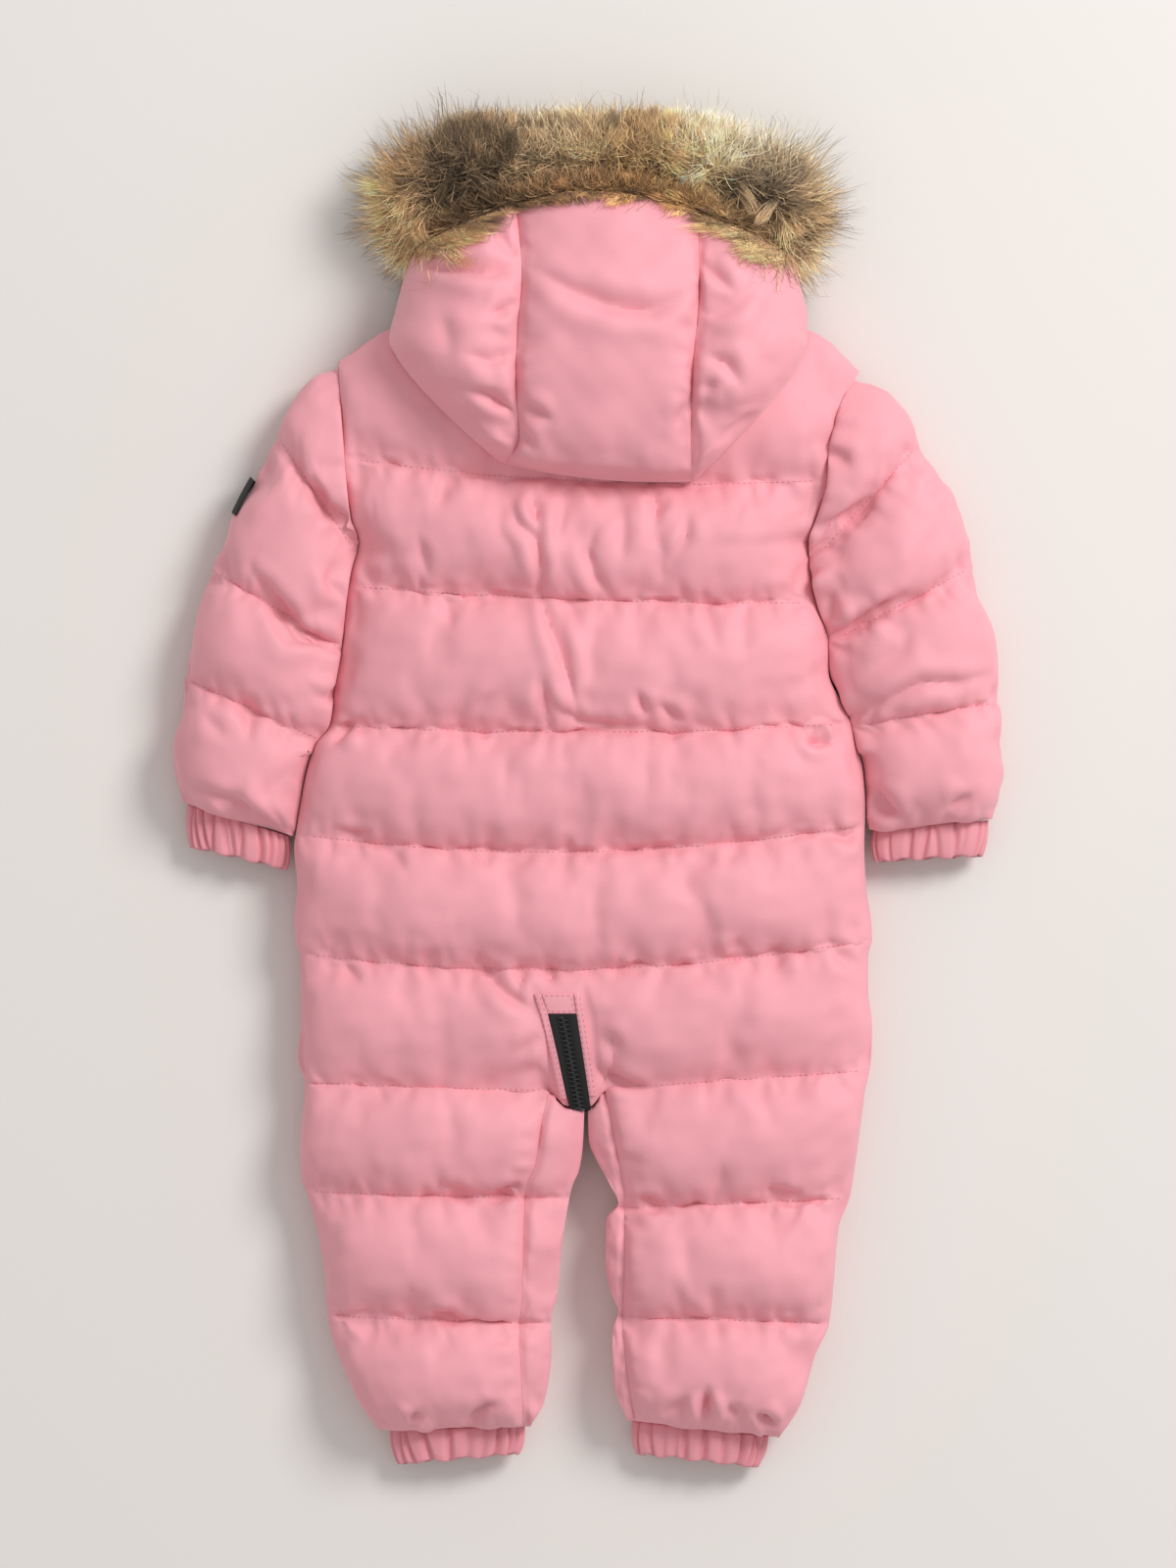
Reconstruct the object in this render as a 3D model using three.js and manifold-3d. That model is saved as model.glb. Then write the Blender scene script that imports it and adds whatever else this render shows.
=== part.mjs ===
// A baby's quilted snowsuit, laid face down on a flat surface and seen from its back.
// Millimetres. +Z is up from the surface, +Y runs from the ankles to the hood, and +X is to the right
// seen from above.
// The origin is on the surface, below the middle of the suit's bounding box.
import * as THREE from "three";
import Module from "manifold-3d";

const wasm = await Module();
wasm.setup();

// Driving sizes
const partingZ = 22; // height of the side seams, where the back and front panels meet
const seamGap = 0.3; // clearance between two pieces at a seam
const edgeThickness = 3; // cloth and padding at a side seam
const sleevePartingZ = 20;
const sleeveSlit = 2; // space between the two layers of a sleeve
const sleeveEdge = 3;
const zipCentreX = -1.2; // front zip
const zipWidth = 15;
const tapeThickness = 1.2;
const zipRecess = 3; // depth of the channel that the front zip lies in
const zipRecessHalf = 9.6;
const armholeRise = 15; // how far a sleeve holds the panel's edge up between the shoulder and the underarm
const armholes = { left: [260.1, 149.1], right: [254.1, 150.3] }; // y of the shoulder and of the underarm
const hoodWall = 13;
const cuffWall = 3.6;
const pleatDepth = 1.7;
const neckline = 287.5; // y of the back neckline
const neckScoopFront = 15; // how much lower the front neckline is cut
const neckEdgeZ = 11; // lowest height of the front neckline's rounded edge

const palette = {
  shell: { color: 0xe8929f, roughness: 0.72, metalness: 0 },
  cuff: { color: 0xe08896, roughness: 0.75, metalness: 0 },
  fur: { color: 0xa98a63, roughness: 0.95, metalness: 0 },
  zip: { color: 0x26272a, roughness: 0.6, metalness: 0 },
  patch: { color: 0x161617, roughness: 0.8, metalness: 0 },
};
const materials = Object.fromEntries(
  Object.entries(palette).map(([name, look]) => [name, new THREE.MeshStandardMaterial(look)]),
);

// Outlines. Each row is [y, x], and the rows run from the hood to the ankles.
const leftEdge = [
  [260.1, -153.6], [235.5, -151.8], [206.7, -149.6], [181.5, -147.6], [165.3, -145.8], [149.1, -141],
  [132.9, -145.2], [108.9, -148.8], [84.9, -151.2], [60.3, -155.4], [38.7, -158.4], [24.3, -168],
  [1.5, -174.6], [-28.5, -179.4], [-36.9, -180.6], [-61.5, -178.8], [-82.5, -180.6], [-95.7, -180],
  [-103.5, -177], [-142.5, -176.4], [-166.5, -178.2], [-182.7, -174], [-202.5, -175.8], [-222.3, -177],
  [-240.9, -176.1], [-248.7, -172.8], [-265.5, -168], [-302.7, -161.6], [-323.7, -160.2], [-337.5, -157.2],
  [-354.3, -151.2], [-377.1, -141], [-393.9, -129],
];
const rightEdge = [
  [254.1, 165.6], [235.5, 154.2], [217.5, 148.8], [206.7, 146.4], [185.7, 145.2], [166.5, 139.8],
  [150.3, 134.4], [132.9, 135], [110.1, 139.8], [89.7, 146.4], [68.7, 147], [54.3, 153], [38.7, 160.2],
  [25.5, 163.2], [12.3, 167.4], [-12.3, 169.2], [-36.9, 168.6], [-61.5, 169.8], [-82.5, 172.8],
  [-93.3, 173.4], [-103.5, 171], [-122.7, 171], [-147.9, 173.4], [-166.5, 172.8], [-175.5, 171.6],
  [-185.7, 169.2], [-199.5, 167.4], [-230.7, 163.2], [-251.7, 159.6], [-269.7, 153], [-302.7, 150],
  [-328.5, 147], [-348.3, 138.3], [-377.1, 130], [-398.7, 116.4],
];
const inseamLeft = [
  [-185.7, -24.6], [-208.5, -29.4], [-232.5, -33], [-244.5, -38.4], [-263.7, -39.6], [-312.9, -40.8],
  [-329.7, -42.6], [-358.5, -41.4], [-392.1, -40.2],
];
const inseamRight = [
  [-184.5, 9.6], [-209.7, 14.4], [-232.5, 18.6], [-251.1, 21.6], [-292.5, 21.6], [-323.7, 20.4],
  [-354.3, 22.8], [-379.5, 26.4], [-388.5, 28.2],
];
const contourLeft = [
  [-185.7, -2.4], [-202.5, -3], [-217.5, -3.6], [-234.9, -6], [-244.5, -10.2], [-255.3, -12.6],
  [-282.3, -16.8], [-312.9, -19.8], [-325.5, -23.4], [-344.1, -23.1], [-375.3, -27], [-392.1, -36],
];
const contourRight = [
  [-184.5, -0.6], [-200.7, -0.6], [-216.9, 0], [-227.7, 4.2], [-242.1, 12], [-255.3, 18],
  [-265.5, 10.2], [-292.5, 10.2], [-310.5, 13.8], [-321.3, 18], [-333.9, 14.4], [-364.5, 15],
  [-388.5, 23.4],
];

// Quilt lines down the back. y at the left edge, the middle and the right edge, then the height of the
// stitched groove, and the height of the padded crest of the channel below it.
const quiltLines = [
  { yLeft: 260.1, yMid: 287.5, yRight: 254.1, groove: 38, crest: 49 },
  { yLeft: 201.3, yMid: 186.3, yRight: 187.5, groove: 41, crest: 54 },
  { yLeft: 122.7, yMid: 114.3, yRight: 112.5, groove: 44, crest: 56 },
  { yLeft: 37.5, yMid: 33.3, yRight: 38.7, groove: 45, crest: 57 },
  { yLeft: -28.5, yMid: -39.9, yRight: -22.5, groove: 45, crest: 56 },
  { yLeft: -101.7, yMid: -111.3, yRight: -93.3, groove: 44, crest: 53 },
  { yLeft: -181.5, yMid: -190, yRight: -173.7, groove: 41, crest: 0 },
];
// Quilt lines of the legs, from the outer edge to the inseam, and the groove and crest as above.
const legLinesLeft = [
  { yOuter: -181.5, yInner: -185.7, groove: 41, crest: 51 },
  { yOuter: -247.5, yInner: -251.7, groove: 39, crest: 50 },
  { yOuter: -323.7, yInner: -328.5, groove: 38, crest: 47 },
  { yOuter: -393.9, yInner: -392.1, groove: 30, crest: 0 },
];
const legLinesRight = [
  { yOuter: -173.7, yInner: -184.5, groove: 41, crest: 51 },
  { yOuter: -251.7, yInner: -257.7, groove: 39, crest: 50 },
  { yOuter: -328.5, yInner: -323.7, groove: 38, crest: 47 },
  { yOuter: -398.7, yInner: -388.5, groove: 30, crest: 0 },
];
// Shoulders and back neckline, [share of the width, y].
const topLine = [
  [0, 260.1], [0.1, 279.3], [0.2, 286.5], [0.35, 287.5], [0.49, 287.5], [0.62, 287.5], [0.78, 286.5],
  [0.9, 279.3], [1, 254.1],
];
// Lower edge of the back panel between the legs, [x, y].
const crotchLine = [[-24.6, -185.7], [-20, -190], [-13.5, -195.6], [1, -195.6], [9.6, -184.5]];
const crotchShares = { left: 0.434, right: 0.533 }; // where the inseams meet the crotch row
const crotchZ = 33; // height of the crotch edge at its middle
const crotchEndZ = 36; // and at the inseams

// Sleeves. Each row is a quilt line: its outer end a, its inner end b, the groove and crest heights over the
// surface, and how far the outer edge bulges below it.
const sleeveRows = {
  left: [
    { a: [-153.6, 261.3], b: [-141, 147.9], groove: 41, crest: 45, bulge: 7 },
    { a: [-190.2, 213.3], b: [-142.8, 143.7], groove: 38, crest: 47, bulge: 3.5 },
    { a: [-230.4, 132.9], b: [-150.6, 83.7], groove: 37, crest: 46, bulge: 1.5 },
    { a: [-247.8, 66.3], b: [-160.8, 27.3], groove: 36, crest: 44, bulge: 5.5 },
    { a: [-248.4, -9.9], b: [-181.6, -30.3], groove: 29, crest: 0, bulge: 0 },
  ],
  right: [
    { a: [165.6, 253.5], b: [134.4, 149.7], groove: 41, crest: 45, bulge: 7.5 },
    { a: [202.2, 209.7], b: [135, 135.9], groove: 38, crest: 47, bulge: 6 },
    { a: [235.2, 134.7], b: [147, 87.9], groove: 37, crest: 46, bulge: 5 },
    { a: [250.2, 51.3], b: [163.2, 37.5], groove: 36, crest: 44, bulge: 5.5 },
    { a: [247.2, -20.1], b: [171.8, -26.1], groove: 29, crest: 0, bulge: 0 },
  ],
};
// Gathered cuffs: the ends of the seam, the ends of the free edge, the middle height and half height, and
// the number of pleats all round.
const cuffRows = {
  sleeve_cuff_left: {
    from: [[-247, -10.9], [-183, -31.1]],
    to: [[-246.6, -36.3], [-183.6, -51.3]],
    pleats: 22,
  },
  sleeve_cuff_right: {
    from: [[173, -27], [246, -21]],
    to: [[173.2, -45.9], [243, -42.3]],
    pleats: 22,
  },
  ankle_cuff_left: {
    from: [[-123, -394.4], [-38.4, -392.7]],
    to: [[-119.4, -415.5], [-40.8, -408.9]],
    pleats: 20,
  },
  ankle_cuff_right: {
    from: [[25.8, -389.15], [111, -398.85]],
    to: [[27, -408.9], [106.2, -417.5]],
    pleats: 20,
  },
};
const cuffMiddleZ = 12.4;
const cuffHalfHeight = 11;

// Hood. Rows run from the face edge to the lower edge: the seam of the centre panel and the outline, and the
// heights of the seam, of the outline's outer face and of its inner face.
const hoodRows = {
  left: [
    { seam: [-44.4, 354.3], rim: [-105.6, 330.3] },
    { seam: [-42, 331.5], rim: [-113.4, 310.5] },
    { seam: [-40.8, 307.5], rim: [-118.8, 290.7] },
    { seam: [-43.2, 280.5], rim: [-122.4, 273.9] },
    { seam: [-44.4, 254.7], rim: [-115.8, 259.5] },
    { seam: [-43.8, 232.5], rim: [-101.4, 241.5] },
    { seam: [-42.6, 213.9], rim: [-79.8, 219.9] },
    { seam: [-50.4, 196.5], rim: [-55.8, 198.9] },
  ],
  right: [
    { seam: [66.6, 349.5], rim: [124.2, 324.3] },
    { seam: [67.2, 327.9], rim: [129.6, 306.3] },
    { seam: [67.2, 303.9], rim: [133.8, 288.3] },
    { seam: [65.4, 278.7], rim: [133.8, 272.7] },
    { seam: [63, 253.5], rim: [126.6, 254.7] },
    { seam: [62.4, 229.5], rim: [111, 234.3] },
    { seam: [62.4, 206.7], rim: [90.6, 212.7] },
    { seam: [63, 186.3], rim: [67.8, 189.9] },
  ],
};
const hoodHeights = [
  { seam: 62, rim: 25, rimInner: 14 },
  { seam: 73, rim: 26, rimInner: 14 },
  { seam: 81, rim: 29, rimInner: 16 },
  { seam: 85, rim: 38, rimInner: 22 },
  { seam: 84, rim: 48, rimInner: 30 },
  { seam: 79, rim: 55, rimInner: 40 },
  { seam: 71, rim: 59, rimInner: 46 },
  { seam: 60, rim: 59, rimInner: 48 },
];
// How far the centre panel's middle lies beyond its seams in y.
const hoodCentreSag = [9, 4, 0, 0, 0, 0, -2, -4];
const hoodPuff = 5;
const tuckDepth = 9; // how far the hood's lower edge turns in
// The hood's wall lies on the yoke below the neckline and is hollow above it.
const neckY = { closed: 268, open: 286 };

// Fur trim. Its path runs round the face opening: centre, half width and half height of its section.
const furPath = [
  { x: -16, y: 291, z: 6.6, half: 15, high: 6.2 },
  { x: -50, y: 300, z: 6.6, half: 17, high: 6.2 },
  { x: -82, y: 317, z: 8, half: 20, high: 7.6 },
  { x: -106, y: 340, z: 19, half: 29, high: 18.6 },
  { x: -104, y: 363, z: 29, half: 35, high: 28.6 },
  { x: -78, y: 378, z: 32, half: 34, high: 31.6 },
  { x: -44, y: 381, z: 33, half: 32, high: 32.6 },
  { x: 2, y: 385, z: 33, half: 31, high: 32.6 },
  { x: 48, y: 383.5, z: 33, half: 32, high: 32.6 },
  { x: 84, y: 377, z: 32, half: 34, high: 31.6 },
  { x: 114, y: 361, z: 29, half: 36, high: 28.6 },
  { x: 119, y: 338, z: 19, half: 30, high: 18.6 },
  { x: 96, y: 315, z: 8, half: 20, high: 7.6 },
  { x: 62, y: 300, z: 6.6, half: 17, high: 6.2 },
  { x: 20, y: 291, z: 6.6, half: 15, high: 6.2 },
];
const furTufts = { around: 5, along: 23, depth: 0.07 };

// Zip at the crotch: centre x and half width down the back, [y, x, half width].
const zipBack = [[-126.6, -19.3, 9.6], [-141.9, -15.8, 8.5], [-195.3, -5.7, 6.6]];
const facingWidth = 4.2;
const tapeLift = 0.5;

// Sleeve patch, on the outer edge of the left sleeve: the share of its channel that it spans, its heights
// round the edge, its lift off the sleeve and its thickness.
const patchSpan = {
  channel: 1,
  from: 0.3,
  to: 0.62,
  heights: [4.5, 8, 12, 16, 20, 23.5, 26.5],
  lift: 0.7,
  thickness: 1,
};

// Sampling
const pillowSteps = [0, 0.09, 0.24, 0.42, 0.6, 0.78, 0.92];
const frontSteps = [0, 0.35, 0.68];
const torsoColumns = { leg: 8, crotch: 5 };
const upperSteps = 10; // round the upper and the lower half of a sleeve
const lowerSteps = 6;

const lerp = (a, b, t) => a + (b - a) * t;
const clamp01 = (t) => Math.min(1, Math.max(0, t));
const smooth = (from, to, v) => {
  const t = clamp01((v - from) / (to - from));
  return t * t * (3 - 2 * t);
};
const pillow = (f) => Math.pow(1 - Math.pow(Math.abs(2 * f - 1), 2.6), 0.75);
const dome = (s) => Math.pow(Math.max(0, 1 - Math.pow(Math.abs(s), 2.6)), 0.55);
const wave = (a, b) => Math.sin(a * 12.9898 + b * 78.233) * 0.6 + Math.sin(a * 39.3 - b * 11.1) * 0.4;

// Linear interpolation in a table of [key, value] rows whose keys run one way.
function read(table, key, column = 1) {
  const falling = table[0][0] > table[table.length - 1][0];
  for (let i = 0; i < table.length - 1; i++) {
    const [a, b] = [table[i], table[i + 1]];
    if (falling ? key >= b[0] : key <= b[0]) {
      return lerp(a[column], b[column], clamp01((key - a[0]) / (b[0] - a[0])));
    }
  }
  return table[table.length - 1][column];
}

function meshOf(name, look, points, triangles) {
  const geometry = new THREE.BufferGeometry();
  geometry.setAttribute("position", new THREE.Float32BufferAttribute(points.flat(), 3));
  geometry.setIndex(triangles.flat());
  geometry.computeVertexNormals();
  const mesh = new THREE.Mesh(geometry, materials[look]);
  mesh.name = name;
  return mesh;
}

// Triangles between rows of vertex numbers that all have the same length.
function gridTriangles(rows, facingDown = false) {
  const triangles = [];
  for (let r = 0; r < rows.length - 1; r++) {
    for (let c = 0; c < rows[r].length - 1; c++) {
      const [a, b, d, e] = [rows[r][c], rows[r][c + 1], rows[r + 1][c], rows[r + 1][c + 1]];
      triangles.push([a, d, e], [a, e, b]);
    }
  }
  return facingDown ? triangles.map(([a, b, c]) => [a, c, b]) : triangles;
}

// Triangles between rows whose lengths may differ.
function ladderTriangles(rows, facingDown = false) {
  const triangles = [];
  for (let r = 0; r < rows.length - 1; r++) {
    const [top, low] = [rows[r], rows[r + 1]];
    let [i, j] = [0, 0];
    while (i < top.length - 1 || j < low.length - 1) {
      const nextTop = (i + 1) / Math.max(1, top.length - 1);
      const nextLow = (j + 1) / Math.max(1, low.length - 1);
      if (j >= low.length - 1 || (i < top.length - 1 && nextTop <= nextLow)) {
        triangles.push([top[i], low[j], top[i + 1]]);
        i++;
      } else {
        triangles.push([top[i], low[j], low[j + 1]]);
        j++;
      }
    }
  }
  return facingDown ? triangles.map(([a, b, c]) => [a, c, b]) : triangles;
}

// Edges that only one triangle uses, each in that triangle's direction.
function openEdges(triangles) {
  const seen = new Set(triangles.flatMap(([a, b, c]) => [`${a},${b}`, `${b},${c}`, `${c},${a}`]));
  return [...seen].map((e) => e.split(",").map(Number)).filter(([a, b]) => !seen.has(`${b},${a}`));
}

// A padded panel with shaped outer points and one flat inner face, triangulated from rows of rim vertices.
function slab(name, look, points, outer, innerLadders, innerZ, facingDown = false) {
  const all = points.map((p) => [...p]);
  const twin = new Map();
  const inner = (i) => {
    if (!twin.has(i)) {
      twin.set(i, all.length);
      all.push([points[i][0], points[i][1], innerZ]);
    }
    return twin.get(i);
  };
  const sides = openEdges(outer).flatMap(([a, b]) => [[b, a, inner(a)], [b, inner(a), inner(b)]]);
  const back = innerLadders
    .flatMap((rows) => ladderTriangles(rows, !facingDown))
    .map((t) => t.map(inner));
  return meshOf(name, look, all, [...outer, ...sides, ...back]);
}

// A wall with shaped outer points and its own inner points, closed round its rim.
function wall(name, look, outerPoints, innerPoints, outer) {
  const n = outerPoints.length;
  const inner = outer.map(([a, b, c]) => [a + n, c + n, b + n]);
  const sides = openEdges(outer).flatMap(([a, b]) => [[b, a, a + n], [b, a + n, b + n]]);
  return meshOf(name, look, [...outerPoints, ...innerPoints], [...outer, ...inner, ...sides]);
}

// A tube between outer rings and inner rings, open at both ends.
function tube(name, look, outerRings, innerRings) {
  const n = outerRings[0].length;
  const rings = outerRings.length;
  const points = [...outerRings.flat(), ...innerRings.flat()];
  const triangles = [];
  const quad = (a, b, c, d) => triangles.push([a, b, c], [a, c, d]);
  for (let r = 0; r < rings - 1; r++) {
    for (let i = 0; i < n; i++) {
      const k = (i + 1) % n;
      const [a, b, c, d] = [r * n + i, r * n + k, (r + 1) * n + k, (r + 1) * n + i];
      const o = rings * n;
      quad(a, b, c, d);
      quad(a + o, d + o, c + o, b + o);
    }
  }
  for (let i = 0; i < n; i++) {
    const k = (i + 1) % n;
    const o = rings * n;
    const last = (rings - 1) * n;
    quad(i, i + o, k + o, k);
    quad(last + i, last + k, last + k + o, last + i + o);
  }
  return meshOf(name, look, points, triangles);
}

// Turns a tube or wall inside out if its volume came out negative, so that its faces point outwards.
function facingOut(mesh) {
  const p = mesh.geometry.attributes.position;
  const index = mesh.geometry.index.array;
  let volume = 0;
  const corner = (i) => new THREE.Vector3().fromBufferAttribute(p, index[i]);
  for (let i = 0; i < index.length; i += 3) {
    volume += corner(i).dot(corner(i + 1).cross(corner(i + 2)));
  }
  if (volume < 0) {
    for (let i = 0; i < index.length; i += 3) {
      [index[i + 1], index[i + 2]] = [index[i + 2], index[i + 1]];
    }
  }
  return mesh;
}

function solidOf(mesh) {
  const vertProperties = new Float32Array(mesh.geometry.attributes.position.array);
  const triVerts = new Uint32Array(mesh.geometry.index.array);
  return new wasm.Manifold(new wasm.Mesh({ numProp: 3, vertProperties, triVerts }));
}

function meshFrom(name, look, solid) {
  const { numProp, vertProperties, triVerts } = solid.getMesh();
  const points = [];
  for (let i = 0; i < vertProperties.length; i += numProp) {
    points.push(Array.from(vertProperties.subarray(i, i + 3)));
  }
  return meshOf(name, look, points, [Array.from(triVerts)]);
}

// How strongly an armhole holds the panel's edge up, from 0 at the shoulder and underarm to 1 between them.
function armholeLift(y, edge) {
  const [top, bottom] = edge === leftEdge ? armholes.left : armholes.right;
  const t = (top - y) / (top - bottom);
  return t <= 0 || t >= 1 ? 0 : Math.sqrt(Math.sin(Math.PI * t));
}

const lowEdge = partingZ + edgeThickness;

// Height of a quilted surface: from the groove at a quilt line up to the crest and down to the next groove.
function quilted(line, next, f) {
  const low = lerp(line.groove, next.groove, f);
  return low + (line.crest - low) * pillow(f);
}

// Height across a leg, from its outer edge to a little beyond its inner outline.
function legProfile(x, y, top, outerEdge, contour) {
  const outer = read(outerEdge, y);
  const beyond = contour === contourLeft ? 4 : -4;
  const window = 14;
  const mean = (read(contour, y + window) + read(contour, y) + read(contour, y - window)) / 3;
  const inner = mean + beyond;
  const s = ((x - outer) / (inner - outer)) * 2 - 1;
  return lowEdge + (top - lowEdge) * dome(s);
}

// The y of a quilt line at a share u of the width.
function lineY(k, u) {
  const q = quiltLines[k];
  const sag = q.yMid - (q.yLeft + q.yRight) / 2;
  return k === 0 ? read(topLine, u) : lerp(q.yLeft, q.yRight, u) + sag * 4 * u * (1 - u);
}

function torsoShares() {
  const { leg, crotch } = torsoColumns;
  const { left, right } = crotchShares;
  const shares = [];
  for (let i = 0; i < leg; i++) shares.push((left * i) / leg);
  for (let i = 0; i < crotch; i++) shares.push(lerp(left, right, i / crotch));
  for (let i = 0; i <= leg; i++) shares.push(lerp(right, 1, i / leg));
  return shares;
}

// One point of the back above the legs, in channel k at share f down the channel and u across.
function torsoPoint(k, f, u) {
  let y = lerp(lineY(k, u), lineY(k + 1, u), f);
  const [yL, yR] = [
    lerp(quiltLines[k].yLeft, quiltLines[k + 1].yLeft, f),
    lerp(quiltLines[k].yRight, quiltLines[k + 1].yRight, f),
  ];
  const x = lerp(read(leftEdge, yL), read(rightEdge, yR), u);
  const rise = lerp(armholeLift(yL, leftEdge), armholeLift(yR, rightEdge), u) * armholeRise;
  const low = lowEdge + rise;
  let top = quilted(quiltLines[k], quiltLines[k + 1], f);
  if (k === 0) top = Math.min(top, lerp(34, 49, smooth(0, 0.5, f)));
  let z = low + (top - low) * dome(2 * u - 1);
  if (k === 5) {
    const { left, right } = crotchShares;
    const inCrotch = u > left - 1e-6 && u < right + 1e-6;
    const [legs, outline, contour] =
      u < 0.48 ? [legLinesLeft, leftEdge, contourLeft] : [legLinesRight, rightEdge, contourRight];
    const legTop = lerp(quilted(quiltLines[5], quiltLines[6], f), quiltLines[6].groove, smooth(0.4, 1, f));
    const fromSeam = 1 - Math.abs((2 * (u - left)) / (right - left) - 1);
    const legZ = inCrotch
      ? lerp(crotchEndZ, crotchZ, fromSeam)
      : legProfile(x, legs[0].yInner, legTop, outline, contour);
    z = lerp(z, legZ, smooth(0.15, 1, f));
    if (inCrotch) {
      y = lerp(y, read(crotchLine, x), smooth(0.3, 1, f));
    } else if (f >= 1) {
      const share = u < 0.48 ? u / left : (1 - u) / (1 - right);
      y = lerp(legs[0].yOuter, legs[0].yInner, share);
    }
  }
  return [x, y, z];
}

// One point of the back of a leg, at share w from its outer edge to its inseam.
function legPoint(lines, outerEdge, inseam, contour, k, f, w) {
  const [line, next] = [lines[k], lines[k + 1]];
  const yOuter = lerp(line.yOuter, next.yOuter, f);
  const yInner = lerp(line.yInner, next.yInner, f);
  const y = lerp(yOuter, yInner, w);
  const x = lerp(read(outerEdge, yOuter), read(inseam, yInner), w);
  return [x, y, legProfile(x, yInner, quilted(line, next, f), outerEdge, contour)];
}

// The back: one cut piece from the shoulders to both ankles.
function backPanel() {
  const points = [];
  const add = (p) => points.push(p) - 1;
  const shares = torsoShares();
  const torso = [];
  for (let k = 0; k < 6; k++) {
    for (const f of pillowSteps) torso.push(shares.map((u) => add(torsoPoint(k, f, u))));
  }
  torso.push(shares.map((u) => add(torsoPoint(5, 1, u))));
  const { leg, crotch } = torsoColumns;
  const last = torso[torso.length - 1];
  const legRows = (side, lines, outerEdge, inseam, contour) => {
    const rows = [side === "left" ? last.slice(0, leg + 1) : last.slice(leg + crotch)];
    for (let k = 0; k < 3; k++) {
      for (const f of [...pillowSteps.slice(1), 1]) {
        const row = [];
        for (let c = 0; c <= leg; c++) {
          const w = side === "left" ? c / leg : 1 - c / leg;
          row.push(add(legPoint(lines, outerEdge, inseam, contour, k, f, w)));
        }
        rows.push(row);
      }
    }
    return rows;
  };
  const left = legRows("left", legLinesLeft, leftEdge, inseamLeft, contourLeft);
  const right = legRows("right", legLinesRight, rightEdge, inseamRight, contourRight);
  const ends = (row) => [row[0], row[row.length - 1]];
  const torsoLadder = torso.map((row, i) => {
    if (i === 0) return row;
    if (i <= torso.length - 6) return ends(row);
    return [row[0], ...row.slice(leg, leg + crotch + 1), row[row.length - 1]];
  });
  const legLadder = (rows) => rows.map((row, i) => (i === rows.length - 1 ? row : ends(row)));
  const outer = [torso, left, right].flatMap((rows) => gridTriangles(rows));
  const innerZ = partingZ + seamGap / 2;
  const ladders = [torsoLadder, legLadder(left), legLadder(right)];
  const mesh = slab("back_panel", "shell", points, outer, ladders, innerZ);
  return { mesh, points, triangles: outer };
}

// The rim vertices of rows of points: the whole first and last row, and both ends of the rows between.
function fullEnds(rows) {
  const last = rows.length - 1;
  return rows.map((row, i) => (i === 0 || i === last ? row : [row[0], row[row.length - 1]]));
}

// Height of the underside of a front panel at a distance from its rounded edge, as a share.
const undersideProfile = [[0, 1], [3.5, 0.5], [9, 0.16], [20, 0]];

// A front panel, from its side seam to the zip and on down its leg to the inner outline.
function frontPanel(side) {
  const sign = side === "left" ? 1 : -1;
  const [outerEdge, contour, legs] =
    side === "left" ? [leftEdge, contourLeft, legLinesLeft] : [rightEdge, contourRight, legLinesRight];
  const innerZ = partingZ - seamGap / 2;
  const edgeZ = innerZ - edgeThickness;
  const points = [];
  const rows = [];
  const middle = zipCentreX - (sign * seamGap) / 2;
  const addRow = (yOuter, yInner, xInner, atZip, shape) => {
    const xOuter = read(outerEdge, yOuter) + sign * 2 * armholeLift(yOuter, outerEdge);
    const width = Math.abs(xInner - xOuter);
    const recessEdge = width - zipRecessHalf;
    const flat = [width * 0.42, width * 0.66, width - 21];
    const stops = [0, 3.5, 9, 20, ...flat, recessEdge - 0.8, recessEdge, width];
    const row = stops.map((d) => {
      const t = d / width;
      const lift = 1 - armholeLift(yOuter, outerEdge) * 0.8;
      const outerZ = edgeZ * lift * read(undersideProfile, d);
      const legZ = edgeZ * read(undersideProfile, width - d);
      const zipZ = d >= recessEdge ? zipRecess : 0;
      const lowest = shape ? neckEdgeZ : 0;
      const y = lerp(yOuter, yInner, t) + (shape ? shape(t) : 0);
      return points.push([xOuter + sign * d, y, Math.max(outerZ, lerp(legZ, zipZ, atZip), lowest)]) - 1;
    });
    rows.push(side === "left" ? row : row.reverse());
  };
  const u = (t) => (side === "left" ? t * 0.49 : 1 - t * 0.51);
  for (let k = 0; k < 6; k++) {
    for (const f of k < 2 ? pillowSteps : frontSteps) {
      const yEdge = side === "left" ? "yLeft" : "yRight";
      const yOuter = lerp(quiltLines[k][yEdge], quiltLines[k + 1][yEdge], f);
      const atTop = k === 0 && f === 0;
      const scoop = (t) => neckScoopFront * smooth(0.45, 0.85, t);
      const shape = (t) => read(topLine, u(t)) - lerp(yOuter, neckline, t) - scoop(t);
      const channelTop = lineY(k, 0.49) - (k === 0 ? neckScoopFront : 0);
      const yInner = atTop ? neckline : lerp(channelTop, lineY(k + 1, 0.49), f);
      addRow(yOuter, yInner, middle, 1, atTop ? shape : null);
    }
  }
  for (let k = 0; k < 3; k++) {
    for (const f of [...frontSteps, ...(k === 2 ? [1] : [])]) {
      const yOuter = lerp(legs[k].yOuter, legs[k + 1].yOuter, f);
      const yInner = lerp(legs[k].yInner, legs[k + 1].yInner, f);
      const reach = read(contour, yInner);
      const xInner = sign > 0 ? Math.min(reach, middle) : Math.max(reach, middle);
      addRow(yOuter, yInner, xInner, k === 0 && f === 0 ? 1 : 0);
    }
  }
  const ladder = fullEnds(rows);
  return slab(`front_panel_${side}`, "shell", points, gridTriangles(rows, true), [ladder], innerZ, true);
}

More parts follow.
